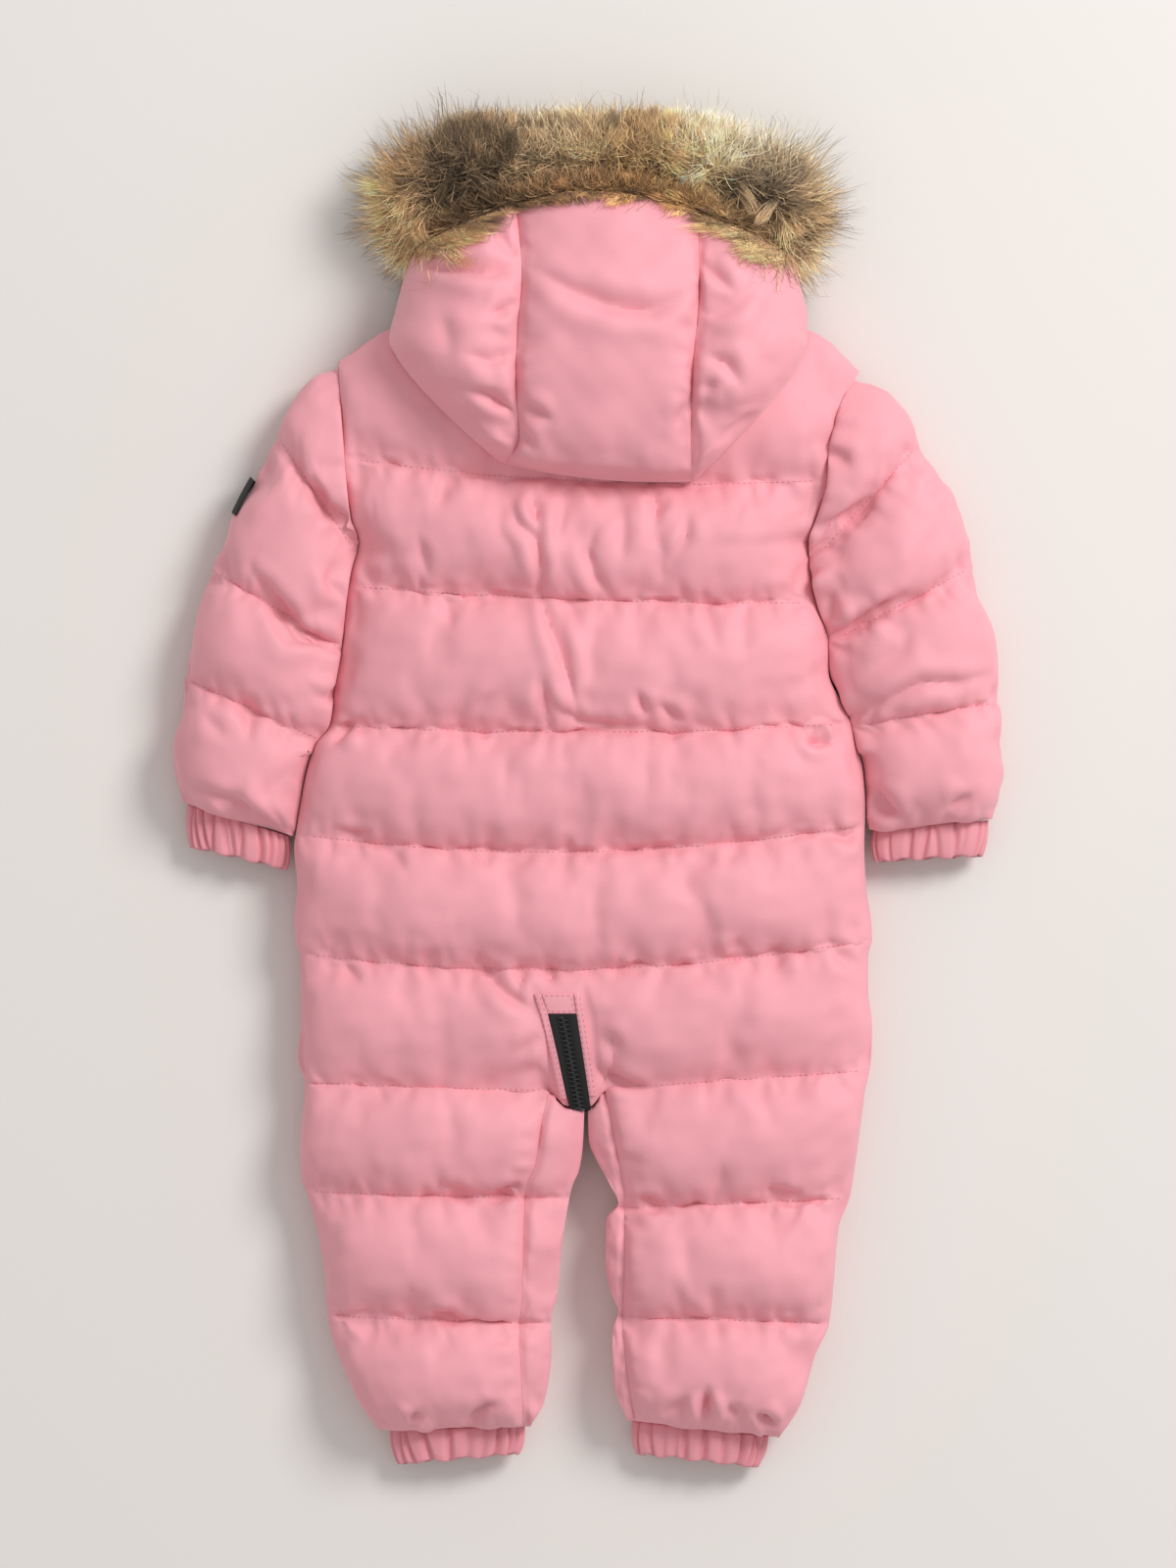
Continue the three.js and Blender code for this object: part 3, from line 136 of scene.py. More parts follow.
# Quilt lines of the sleeves from a to b. The outer edge bulges below each, higher up with a skew below 1.
SLEEVE_ROWS = {
    "left": [
        dict(a=(-153.6, 261.3), b=(-141, 147.9), groove=40, crest=46, bulge=7, skew=0.75),
        dict(a=(-190.2, 213.3), b=(-142.8, 143.7), groove=37, crest=48, bulge=3.5),
        dict(a=(-230.4, 132.9), b=(-150.6, 83.7), groove=36, crest=47, bulge=1.5),
        dict(a=(-247.8, 66.3), b=(-160.8, 27.3), groove=35, crest=45, bulge=5.5, skew=1.7),
        dict(a=(-248.4, -9.9), b=(-181.6, -30.3), groove=27, crest=0, bulge=0),
    ],
    "right": [
        dict(a=(165.6, 253.5), b=(134.4, 149.7), groove=40, crest=46, bulge=7.5, skew=0.75),
        dict(a=(202.2, 209.7), b=(135, 135.9), groove=37, crest=48, bulge=6),
        dict(a=(235.2, 134.7), b=(147, 87.9), groove=36, crest=47, bulge=5),
        dict(a=(250.2, 51.3), b=(163.2, 37.5), groove=35, crest=45, bulge=5.5),
        dict(a=(247.2, -20.1), b=(171.8, -26.1), groove=27, crest=0, bulge=0),
    ],
}
# Cuffs: the ends of the seam and of the free edge, and the number of pleats
CUFFS = {
    "sleeve_cuff_left": (((-247, -10.6), (-183, -30.8)), ((-246.6, -36.3), (-183.6, -51.3)), 22),
    "sleeve_cuff_right": (((173, -26.6), (246, -20.6)), ((173.2, -45.9), (243, -42.3)), 24),
    "ankle_cuff_left": (((-123, -394.2), (-38.4, -392.4)), ((-119.4, -415.5), (-40.8, -408.9)), 24),
    "ankle_cuff_right": (((25.8, -388.9), (111, -398.6)), ((27, -408.9), (106.2, -417.5)), 25),
}

# Hood: (x, y) along the two seams and the two rims from the face edge to the neck, and the heights there
HOOD_ROWS = {
    "left": dict(
        seam=[(-44.4, 354.3), (-42, 331.5), (-40.8, 307.5), (-43.2, 280.5), (-44.4, 254.7), (-43.8, 232.5),
              (-42.6, 213.9), (-50.4, 196.5)],
        rim=[(-105.6, 330.3), (-113.4, 310.5), (-118.8, 290.7), (-122.4, 273.9), (-115.8, 259.5),
             (-101.4, 241.5), (-79.8, 219.9), (-55.8, 198.9)],
    ),
    "right": dict(
        seam=[(66.6, 349.5), (67.2, 327.9), (67.2, 303.9), (65.4, 278.7), (63, 253.5), (62.4, 229.5),
              (62.4, 206.7), (63, 186.3)],
        rim=[(124.2, 324.3), (129.6, 306.3), (133.8, 288.3), (133.8, 272.7), (126.6, 254.7), (111, 234.3),
             (90.6, 212.7), (67.8, 189.9)],
    ),
}
HOOD_SEAM_Z = [62, 73, 81, 85, 84, 79, 71, 60]
HOOD_RIM_Z = [25, 26, 29, 38, 48, 55, 59, 59]
HOOD_RIM_INNER_Z = [14, 14, 16, 22, 30, 40, 46, 48]
HOOD_SAG = [9, 4, 0, 0, 0, 0, -2, -4]
HOOD_PUFF = 6.0

# Fur trim: (x, y, z) of the middle, half width and half height of the roll round the face opening
FUR_PATH = [
    (-16, 291, 6.6, 15, 6.2), (-50, 300, 6.6, 17, 6.2), (-82, 317, 8, 20, 7.6), (-106, 340, 19, 29, 18.6),
    (-104, 363, 29, 35, 28.6), (-78, 378, 32, 34, 31.6), (-44, 381, 33, 32, 32.6), (2, 385, 33, 31, 32.6),
    (48, 383.5, 33, 32, 32.6), (84, 377, 32, 34, 31.6), (114, 361, 29, 36, 28.6), (119, 338, 19, 30, 18.6),
    (96, 315, 8, 20, 7.6), (62, 300, 6.6, 17, 6.2), (20, 291, 6.6, 15, 6.2),
]
# Coloured areas of the fur: centre, radius and sRGB colour
FUR_BASE = (0.95, 0.83, 0.65)
FUR_PATCHES = [
    ((-78, 374), 24, (0.22, 0.17, 0.13)), ((-106, 372), 20, (0.45, 0.35, 0.25)),
    ((-62, 392), 15, (0.34, 0.27, 0.20)), ((106, 371), 19, (0.24, 0.19, 0.15)),
    ((32, 396), 24, (0.50, 0.40, 0.29)), ((-18, 402), 26, (0.66, 0.57, 0.48)),
    ((48, 374), 40, (0.72, 0.57, 0.37)), ((100, 395), 30, (0.95, 0.86, 0.72)),
    ((-122, 355), 26, (0.92, 0.74, 0.54)), ((138, 352), 18, (0.60, 0.49, 0.36)),
    ((-20, 372), 30, (0.62, 0.50, 0.35)), ((75, 404), 24, (0.92, 0.83, 0.69)),
]
FUR_TIP = (0.12, 0.10, 0.09)
FUR_HAIRS = 17500  # in each of the five parts of the trim
FUR_EDGE_TONE = (0.80, 0.76, 0.73)  # the hairs at the hood's edge are browner
FUR_SEGMENTS = 4
FUR_GUARD_SHARE = 0.04  # long dark hairs that stand out of the locks

# The zip on the back: (y, centre x, half width)
ZIP_BACK = [(-126.6, -19.3, 9.6), (-141.9, -15.8, 8.5), (-195.3, -5.7, 6.6)]
FACING_WIDTH = 4.2
FACING_ENDS = {"left": -190.4, "right": -188.6}
TAB_SEAM = [(-27.6, -127.6), (-11.0, -127.6), (-9.0, -137.2), (-24.2, -137.2), (-27.6, -127.6)]
STRIP_LIFT = 0.25
STRIP_THICKNESS = 0.9
TEETH_PITCH = 2.9

# The patch: its place on the sleeve and the distances of its two faces from the sleeve
PATCH_LEVELS = (1.3, 1.6)
PATCH_COLUMNS = range(-17, 9)
PATCH_UNDER = 1.6
PATCH_TOP = 2.6

# How much the folds below are deepened
FOLD_GAIN = 1.35
HOOD_FOLD_GAIN = 1.7

# Folds of the back, the sleeves and the hood: points, width and depth of the trough
BACK_FOLDS = [
    ([(-46.8, 171.9), (-42.6, 160.5), (-32.4, 151.5), (-29.4, 133.5), (-30.6, 118.5)], 5, 3.4),
    ([(-30.6, 118.5), (-18, 86.1), (-12, 64.5), (-7.8, 47.1)], 5.5, 3.4),
    ([(-34, 182), (-32, 165), (-29, 152)], 5, 3.2),
    ([(4, 158), (-1, 143), (4, 128), (12.6, 115.5)], 5, 2.4),
    ([(39, 184), (42, 172), (40, 160)], 5, 2.8),
    ([(60.6, 165), (59, 151), (51, 138)], 5, 2.2),
    ([(22, 168), (21, 152), (20, 138)], 6, 1.8),
    ([(-104, 152), (-98, 126)], 5, 1.8),
    ([(-88, 194), (-90, 172)], 7, 2.2),
    ([(-29, 66), (-27, 50), (-25, 40)], 5, 2.8),
    ([(-25, 53), (-16, 44), (-2, 38), (22, 36), (38, 37)], 5, 2.2),
    ([(29, 58), (35, 44)], 4.5, 2.4),
    ([(42, 51), (57, 38)], 5, 2.4),
    ([(-56, 58), (-70, 44)], 5, 1.6),
    ([(-90, 122), (-84, 96)], 6, 1.6),
    ([(70, 112), (78, 86)], 6, 1.4),
    ([(-144, 39.6), (-150, 34), (-156, 27)], 5, 3.5),
    ([(-155, -26.7), (-143, -31.5), (-132, -29)], 4.5, 2.4),
    ([(129, 34.5), (138, 26.7), (151, 28.5)], 4, 4.0),
    ([(136, 40), (146, 34), (149, 28)], 4, -3.0),
    ([(147, -29), (159, -31), (168, -23)], 5, 3.0),
    ([(-67.2, -107.7), (-49.8, -126.3), (-30.6, -140.1)], 6, 3.6),
    ([(-42.6, -107.7), (-42.6, -126.3)], 5, 2.4),
    ([(-22, -109), (-25, -120)], 5, 2.0),
    ([(-27, -150.9), (-43.8, -164.1)], 6, 2.6),
    ([(-3.6, -164.1), (8.4, -175.5), (21, -180.3), (37.8, -185.1)], 5, 3.0),
    ([(6, -152), (20, -160)], 6, 1.8),
    ([(-60, -252.3), (-45, -246), (-40, -243)], 5, 3.0),
    ([(-92, -244), (-74, -250)], 5, 2.4),
    ([(30, -252), (48, -259)], 5, 2.6),
    ([(110, -248), (128, -253)], 5, 2.2),
    ([(-96, -322), (-78, -327)], 5, 2.4),
    ([(-110, -390.3), (-103, -382)], 5, 3.6),
    ([(-74, -391), (-62, -380), (-55, -378)], 5, 3.4),
    ([(72, -369), (71, -381), (70, -389)], 5, 5.0),
    ([(62, -372), (55, -380), (44, -386)], 6, 2.6),
    ([(102, -384), (112, -390), (115, -393)], 4.5, 4.5),
    ([(90, -386), (84, -378)], 5, 2.6),
    ([(-150, -108), (-140, -120)], 6, 2.0),
    ([(150, -100), (160, -112)], 6, 2.2),
    ([(118, -96), (112, -112)], 6, 1.8),
    ([(88, -104), (92, -92)], 6, 1.8),
    ([(-100, -110), (-92, -98)], 6, 1.8),
    ([(-120, -38), (-112, -52)], 6, 1.6),
    ([(90, -34), (84, -50)], 6, 1.6),
]
SLEEVE_FOLDS = {
    "left": [
        ([(-207, 134.1), (-192.6, 113.1), (-179.4, 95.7), (-152.4, 82.5)], 6, 3.6),
        ([(-197.4, 105.3), (-184.2, 89.1), (-162, 90.9)], 6, 2.6),
        ([(-154, 62), (-162, 52)], 5, 4.5),
        ([(-168, 186), (-160, 170), (-148, 158)], 6, 2.6),
        ([(-245.4, 0.9), (-219.6, -9), (-197.4, -23.1), (-185, -30)], 5, 2.6),
        ([(-214, 60), (-206, 40), (-208, 28)], 6, 1.8),
        ([(-152, 112), (-158, 126), (-156, 134)], 5, 2.6),
        ([(-236, 44), (-222, 30)], 6, 1.6),
    ],
    "right": [
        ([(146, 89), (166.8, 100.5), (190.8, 116.1)], 5.5, 5.0),
        ([(139.2, 110.1), (147, 133.5)], 5, -3.0),
        ([(146, 118), (150, 104), (147, 92)], 5, 3.2),
        ([(159, 40), (178, 50), (202.8, 62.7), (226.8, 62.7), (246.6, 68.7)], 6, 3.0),
        ([(172.8, -0.9), (182, -14), (193.2, -21.3)], 6, 3.6),
        ([(219, -15.3), (234.6, -5.1)], 6, 3.2),
        ([(178, 178), (160, 164), (142, 158)], 6, 2.2),
        ([(214, 190), (206, 176)], 6, 1.8),
        ([(196, 128), (206, 146), (214, 158)], 7, 1.6),
        ([(150, 208), (158, 196)], 6, 2.4),
        ([(170, 70), (190, 84), (196, 96)], 7, 1.8),
    ],
}
HOOD_FOLDS = [
    ([(-100, 317), (-78, 314.7), (-60, 313), (-43.2, 315.9)], 6, 3.2),
    ([(-34.8, 314.7), (-12, 301.5), (12, 292), (38, 289), (62, 300)], 8, 3.2),
    ([(-70.2, 242.1), (-56, 234), (-43.8, 225.9)], 5, 3.2),
    ([(-42.6, 231.9), (-30, 226), (-23.4, 222.9)], 5, 2.4),
    ([(-42.6, 216.9), (-32.4, 205.5)], 5, 2.2),
    ([(53.4, 217.5), (58, 229), (62, 236)], 5, 2.0),
    ([(67.8, 318.3), (78, 310), (87, 301.5)], 6, 3.0),
    ([(-62, 346), (-50, 330), (-46, 322)], 6, 2.0),
    ([(70, 262), (84, 256), (92, 244)], 6, 2.6),
    ([(68, 240), (78, 246)], 5, 2.0),
    ([(-46, 264), (-60, 258), (-74, 262)], 6, 2.4),
    ([(-46, 292), (-62, 286)], 5, 2.2),
    ([(-90, 286), (-84, 262)], 9, 1.6),
    ([(112, 300), (104, 276), (98, 262)], 9, 1.8),
    ([(70, 286), (88, 292), (104, 306)], 7, 1.8),
]


def lerp(a, b, t):
    return a + (b - a) * t


def between(a, b, t):
    """The place at share t of the line from a to b."""
    return np.array([lerp(a[0], b[0], t), lerp(a[1], b[1], t)])


def smooth(low, high, v):
    t = np.clip((v - low) / (high - low), 0, 1)
    return t * t * (3 - 2 * t)


def bump(v, centre, width):
    return np.exp(-(((v - centre) / width) ** 2))


def curve(rows, column=1):
    """A smooth function through rows of (key, value, ...) that never overshoots them."""
    pts = np.array(sorted((r[0], r[column]) for r in rows), float)
    x, y = pts[:, 0], pts[:, 1]
    h = np.diff(x)
    d = np.diff(y) / h
    m = np.empty_like(y)
    m[0], m[-1] = d[0], d[-1]
    for i in range(1, len(x) - 1):
        w1, w2 = 2 * h[i] + h[i - 1], h[i] + 2 * h[i - 1]
        m[i] = (w1 + w2) / (w1 / d[i - 1] + w2 / d[i]) if d[i - 1] * d[i] > 0 else 0

    def value(q):
        q = np.clip(q, x[0], x[-1])
        i = np.clip(np.searchsorted(x, q) - 1, 0, len(h) - 1)
        t = (q - x[i]) / h[i]
        return (
            (1 + 2 * t) * (1 - t) ** 2 * y[i]
            + t * (1 - t) ** 2 * h[i] * m[i]
            + t * t * (3 - 2 * t) * y[i + 1]
            + t * t * (t - 1) * h[i] * m[i + 1]
        )

    return value


def through(values):
    """A smooth function of 0 .. len-1 through a list of numbers."""
    return curve([(i, v) for i, v in enumerate(values)])


left_edge, right_edge = curve(LEFT_EDGE), curve(RIGHT_EDGE)
inseam = {"left": curve(INSEAM_LEFT), "right": curve(INSEAM_RIGHT)}
contour = {"left": curve(CONTOUR_LEFT), "right": curve(CONTOUR_RIGHT)}
outer_edge = {"left": left_edge, "right": right_edge}
top_line = curve(TOP_LINE)
crotch_line = curve(CROTCH_LINE)
zip_x, zip_half = curve(ZIP_BACK), curve(ZIP_BACK, 2)


def pillow(f):
    return (1 - np.abs(2 * f - 1) ** 2.6) ** 0.75


def dome(s):
    return np.maximum(0, 1 - np.abs(s) ** 2.6) ** 0.55


# Surface detail

def soft_noise(x, y, wavelength, seed, waves=9):
    """Smooth unevenness of about 1 mm, from waves in random directions."""
    rng = np.random.default_rng(seed)
    out = np.zeros_like(x)
    for _ in range(waves):
        angle, phase = rng.uniform(0, math.pi), rng.uniform(0, 2 * math.pi)
        k = 2 * math.pi / (wavelength * rng.uniform(0.7, 1.5))
        out += np.sin(k * (x * math.cos(angle) + y * math.sin(angle)) + phase)
    return out / math.sqrt(waves)


def gathers(along, across, span, seed, pitch=12.5, depth=2.4, reach=15):
    """Puckers on both sides of a line of stitching, which is at across = 0."""
    rng = np.random.default_rng(seed)
    out = np.zeros_like(along)
    start, end = span
    place = start + rng.uniform(0, pitch)
    close = np.abs(across) < 3.2 * reach
    a, c = along[close], across[close]
    total = np.zeros_like(a)
    while place < end:
        amount = depth * rng.uniform(0.35, 1.35)
        up, down = reach * rng.uniform(0.35, 1.55, 2)
        width = rng.uniform(1.7, 3.0)
        lean = rng.uniform(-0.4, 0.4)
        length = np.where(c > 0, up, down)
        spread = width * (1 + np.abs(c) / 11)
        fold = np.exp(-(((a - place - lean * c) / spread) ** 2))
        rise = 1 - np.exp(-((np.abs(c) / 1.8) ** 1.5))
        total -= amount * fold * rise * np.exp(-((np.abs(c) / length) ** 1.5))
        place += pitch * rng.uniform(0.55, 1.6)
    out[close] = total
    return out


def crease(x, y, points, width, depth, ridge=0.5):
    """A soft trough along a line of points with a low ridge on both sides; a negative depth is a ridge."""
    pts = np.array(points, float)
    near = (
        (x > pts[:, 0].min() - 5 * width) & (x < pts[:, 0].max() + 5 * width)
        & (y > pts[:, 1].min() - 5 * width) & (y < pts[:, 1].max() + 5 * width)
    )
    out = np.zeros_like(x)
    if not near.any():
        return out
    px, py = x[near], y[near]
    best, share = np.full(px.shape, 1e9), np.zeros_like(px)
    lengths = np.hypot(*np.diff(pts, axis=0).T)
    run = 0.0
    for (ax, ay), (bx, by), length in zip(pts[:-1], pts[1:], lengths):
        t = np.clip(((px - ax) * (bx - ax) + (py - ay) * (by - ay)) / length**2, 0, 1)
        d = np.hypot(px - ax - t * (bx - ax), py - ay - t * (by - ay))
        nearer = d < best
        best = np.where(nearer, d, best)
        share = np.where(nearer, (run + t * length) / lengths.sum(), share)
        run += length
    taper = np.sin(math.pi * np.clip(share, 0.03, 0.97)) ** 0.8
    spread = width * (0.55 + 0.45 * taper)
    out[near] = depth * taper * (ridge * bump(best, 1.7 * spread, spread) - bump(best, 0, 0.62 * spread))
    return out


def folds(x, y, listed):
    """The sum of the listed folds, each (points, width, depth)."""
    return sum((crease(x, y, *fold) for fold in listed), np.zeros_like(x))


def refine(grid, wrap=False):
    """A grid with a smooth new row and column between each two, on cubic curves through the old points."""
    for axis in (0, 1):
        g = np.moveaxis(grid, axis, 0)
        if axis == 1 and wrap:
            padded = np.concatenate([g[-1:], g, g[:2]])
        else:
            padded = np.concatenate([2 * g[:1] - g[1:2], g, 2 * g[-1:] - g[-2:-1]])
        middle = (9 * (padded[1:-2] + padded[2:-1]) - padded[:-3] - padded[3:]) / 16
        out = np.empty((len(g) + len(middle),) + g.shape[1:])
        out[0::2], out[1::2] = g, middle
        grid = np.moveaxis(out, 0, axis)
    return grid


def halfway(values):
    """A list of numbers with the means of neighbours put between them."""
    out = np.empty(2 * len(values) - 1)
    out[0::2], out[1::2] = values, (values[:-1] + values[1:]) / 2
    return out


def calmed(shift, mesh, sewn, rounds=2):
    """The simulated movement with its smallest crinkles evened out between neighbouring points."""
    ends = np.empty(len(mesh.edges) * 2, int)
    mesh.edges.foreach_get("vertices", ends)
    ends = ends.reshape(-1, 2)
    both = np.vstack([ends, ends[:, ::-1]])
    count = np.bincount(both[:, 0], minlength=len(shift))[:, None]
    for _ in range(rounds):
        around = np.zeros_like(shift)
        np.add.at(around, both[:, 0], shift[both[:, 1]])
        shift = np.where(sewn[:, None], shift, (shift + around / count) / 2)
    return shift


def cloth_sheet(grid, sewn, faces, slack, pressure, most):
    """A grid for the simulation, with its held points, extra length, pressure and largest movement."""
    return dict(
        points=grid.reshape(-1, 3), sewn=sewn.ravel(), faces=faces, index=numbered(grid),
        slack=slack, pressure=pressure, most=most,
    )


def settle(sheets):
    """Cloth simulation of every sheet at once: it swells and puckers between the points that are sewn."""
    scene = bpy.context.scene
    rng = np.random.default_rng(11)
    objects = []
    for name, sheet in sheets.items():
        start = sheet["points"]
        mesh = bpy.data.meshes.new(name)
        wobble = rng.normal(0, 0.25, start.shape) * ~sheet["sewn"][:, None]
        mesh.from_pydata(((start + wobble) * MM).tolist(), [], sheet["faces"])
        obj = collection_link(bpy.data.objects.new(name + "_settling", mesh))
        obj.vertex_groups.new(name="sewn").add(np.flatnonzero(sheet["sewn"]).tolist(), 1.0, "REPLACE")
        modifier = obj.modifiers.new("cloth", "CLOTH")
        cloth = modifier.settings
        cloth.quality = 5
        cloth.mass = 0.02
        cloth.air_damping = 1.0
        cloth.tension_stiffness = cloth.compression_stiffness = 8
        cloth.shear_stiffness = 3
        cloth.bending_stiffness = 0.4
        cloth.vertex_group_mass = "sewn"
        cloth.shrink_min = -sheet["slack"]
        cloth.use_pressure = True
        cloth.uniform_pressure_force = sheet["pressure"]
        cloth.effector_weights.gravity = 0
        modifier.collision_settings.use_collision = False
        modifier.point_cache.frame_start, modifier.point_cache.frame_end = 1, SETTLE_FRAMES
        objects.append(obj)
    for step in range(1, SETTLE_FRAMES + 1):
        scene.frame_set(step)
    graph = bpy.context.evaluated_depsgraph_get()
    for sheet, obj in zip(sheets.values(), objects):
        sheet["plain"] = sheet["points"]
        moved = np.empty(len(sheet["points"]) * 3)
        obj.evaluated_get(graph).data.vertices.foreach_get("co", moved)
        shift = calmed(moved.reshape(-1, 3) / MM - sheet["points"], obj.data, sheet["sewn"])
        length = np.linalg.norm(shift, axis=1, keepdims=True)
        capped = sheet["most"] * np.tanh(length / sheet["most"])
        sheet["points"] = sheet["points"] + shift * (capped / np.maximum(length, 1e-6))
        print(f"settled {obj.name}: mean {length.mean():.2f}, largest {length.max():.2f}")
    for obj in objects:
        bpy.data.objects.remove(obj)
    scene.frame_set(1)


def normals(points, closed=False):
    """Unit normals of a grid of points, rows by columns; closed where the columns go right round."""
    if closed:
        du = np.roll(points, -1, axis=1) - np.roll(points, 1, axis=1)
    else:
        du = np.gradient(points, axis=1)
    dv = np.gradient(points, axis=0)
    n = np.cross(du, dv)
    return n / np.maximum(np.linalg.norm(n, axis=2, keepdims=True), 1e-9)


def raised(grid, wrap=False, side="left"):
    """Unit normals that point out of the garment: upwards, or away from the inside of a sleeve."""
    n = normals(grid, closed=wrap)
    if wrap:
        return -n if side == "left" else n
    return n * np.sign(n[..., 2:3])


# Mesh making

def collection_link(obj):
    bpy.context.scene.collection.objects.link(obj)
    return obj


def make_object(name, points, faces, material, sharp=55):
    """A mesh object from points in millimetres, with edges kept sharp above an angle in degrees."""
    mesh = bpy.data.meshes.new(name)
    mesh.from_pydata((np.asarray(points) * MM).tolist(), [], faces)
    mesh.validate()
    mesh.update()
    mesh.materials.append(material)
    mesh.shade_smooth()
    if sharp:
        mesh.set_sharp_from_angle(angle=math.radians(sharp))
    return collection_link(bpy.data.objects.new(name, mesh))


def grid_faces(index, closed=False):
    """Quads between the rows of an array of vertex numbers."""
    if closed:
        index = np.hstack([index, index[:, :1]])
    a, b = index[:-1, :-1].ravel(), index[:-1, 1:].ravel()
    c, d = index[1:, 1:].ravel(), index[1:, :-1].ravel()
    return np.stack([a, d, c, b], axis=1).tolist()


def numbered(grid):
    """The vertex number of each point of a grid."""
    return np.arange(grid[..., 0].size).reshape(grid.shape[:2])


def flipped(faces):
    return [f[::-1] for f in faces]


def tube_faces(index):
    """The faces of a tube that is closed at both ends."""
    return grid_faces(index, closed=True) + [list(index[0]), list(index[-1][::-1])]


def rod_faces(base, rings, size):
    """The faces of a short rod whose rings of points follow each other from vertex number base."""
    faces = []
    for start in range(base, base + (rings - 1) * size, size):
        for i in range(size):
            j = (i + 1) % size
            faces.append([start + i, start + j, start + size + j, start + size + i])
    last = base + (rings - 1) * size
    return faces + [list(range(base, base + size))[::-1], list(range(last, last + size))]


def rim_loop(faces):
    """The vertices round the open edge of a patch of faces, in order."""
    used = set()
    for f in faces:
        for i, a in enumerate(f):
            used.add((a, f[(i + 1) % len(f)]))
    step = {a: b for a, b in used if (b, a) not in used}
    first = next(iter(step))
    loop = [first]
    while step[loop[-1]] != first:
        loop.append(step[loop[-1]])
    return loop


def close_flat(points, faces, z):
    """Adds a side wall down or up to height z and one flat face across it."""
    loop = rim_loop(faces)
    base = len(points)
    rim = points[loop].copy()
    rim[:, 2] = z
    n = len(loop)
    walls = [[loop[(i + 1) % n], loop[i], base + i, base + (i + 1) % n] for i in range(n)]
    flat = [[base + i for i in range(n)][::-1]]
    return np.vstack([points, rim]), faces + walls + flat


def walled(outer, inner, faces):
    """Points and faces of a closed wall between two grids of the same shape."""
    size = outer[..., 0].size
    loop = rim_loop(faces)
    m = len(loop)
    back = [[i + size for i in f[::-1]] for f in faces]
    rim = [[loop[(i + 1) % m], loop[i], loop[i] + size, loop[(i + 1) % m] + size] for i in range(m)]
    return np.vstack([outer.reshape(-1, 3), inner.reshape(-1, 3)]), faces + back + rim


def dress(obj, node):
    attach(obj, "root")
    if node:
        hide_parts(*([node] if isinstance(node, str) else node))
    return obj


def tree_of(*objects):
    """A height finder over finished objects, in millimetres."""
    points, faces = [], []
    for obj in objects:
        base = len(points)
        points += [v.co / MM for v in obj.data.vertices]
        faces += [[base + i for i in p.vertices] for p in obj.data.polygons]
    tree = BVHTree.FromPolygons(points, faces)

    def height(x, y, default=0.0):
        hit = tree.ray_cast(Vector((x, y, 300)), Vector((0, 0, -1)))
        return hit[0].z if hit[0] else default

    return height


# Materials

def new_material(name):
    """A material, a helper that adds a node to it, one that joins two nodes, and its shader."""
    material = bpy.data.materials.new(name)
    material.use_nodes = True
    nodes, links = material.node_tree.nodes, material.node_tree.links

    def add(kind, values=None):
        node = nodes.new("ShaderNode" + kind)
        set_inputs(node, values or {})
        return node

    def join(source, output, target, socket):
        links.new(source.outputs[output], target.inputs[socket])

    return material, add, join, nodes["Principled BSDF"]


def set_inputs(node, values):
    for socket, value in values.items():
        node.inputs[socket].default_value = value


def linear(rgb):
    return [c / 12.92 if c <= 0.04045 else ((c + 0.055) / 1.055) ** 2.4 for c in rgb] + [1.0]


def toned(rgb, factor):
    return linear([min(1, c * factor) for c in rgb])


def cloth_material(name, colour, weave_depth=0.25):
    """Fine twill polyester: a weave in the bump, faint mottling in the colour and a soft sheen."""
    material, add, join, shader = new_material(name)
    place = add("TexCoord")
    mottle = add("TexNoise", {"Scale": 26, "Detail": 3})
    fine = add("TexNoise", {"Scale": 900, "Detail": 2})
    twill = add("TexWave", {"Scale": 420, "Distortion": 0.8, "Detail": 1})
    twill.bands_direction = "DIAGONAL"
    shades = add("MixRGB", {"Color1": toned(colour, 0.94), "Color2": toned(colour, 1.03)})
    speck = add("MixRGB", {"Fac": 0.10})
    speck.blend_type = "MULTIPLY"
    height = add("Math")
    weave = add("Bump", {"Strength": weave_depth, "Distance": 0.00012})
    for node in (mottle, fine, twill):
        join(place, "Object", node, "Vector")
    join(mottle, "Fac", shades, "Fac")
    join(shades, "Color", speck, "Color1")
    join(fine, "Color", speck, "Color2")
    join(speck, "Color", shader, "Base Color")
    join(fine, "Fac", height, 0)
    join(twill, "Fac", height, 1)
    join(height, "Value", weave, "Height")
    join(weave, "Normal", shader, "Normal")
    set_inputs(shader, {"Roughness": 0.62, "Specular IOR Level": 0.35})
    set_inputs(shader, {"Sheen Weight": 0.25, "Sheen Roughness": 0.45})
    return material


def plain_material(name, colour, roughness, grain=600, depth=0.2):
    """A dull or glossy surface with a little grain in its colour and bump."""
    material, add, join, shader = new_material(name)
    place = add("TexCoord")
    noise = add("TexNoise", {"Scale": grain})
    shades = add("MixRGB", {"Color1": toned(colour, 0.86), "Color2": toned(colour, 1.1)})
    relief = add("Bump", {"Strength": depth, "Distance": 0.0001})
    join(place, "Object", noise, "Vector")
    join(noise, "Fac", shades, "Fac")
    join(shades, "Color", shader, "Base Color")
    join(noise, "Fac", relief, "Height")
    join(relief, "Normal", shader, "Normal")
    set_inputs(shader, {"Roughness": roughness})
    return material


def fur_material(name):
    """Hair whose colour is stored on its points."""
    material, add, join, shader = new_material(name)
    colour = add("Attribute")
    colour.attribute_name = "hair_colour"
    join(colour, "Color", shader, "Base Color")
    set_inputs(shader, {"Roughness": 0.55, "Specular IOR Level": 0.3, "Sheen Weight": 0.15})
    return material


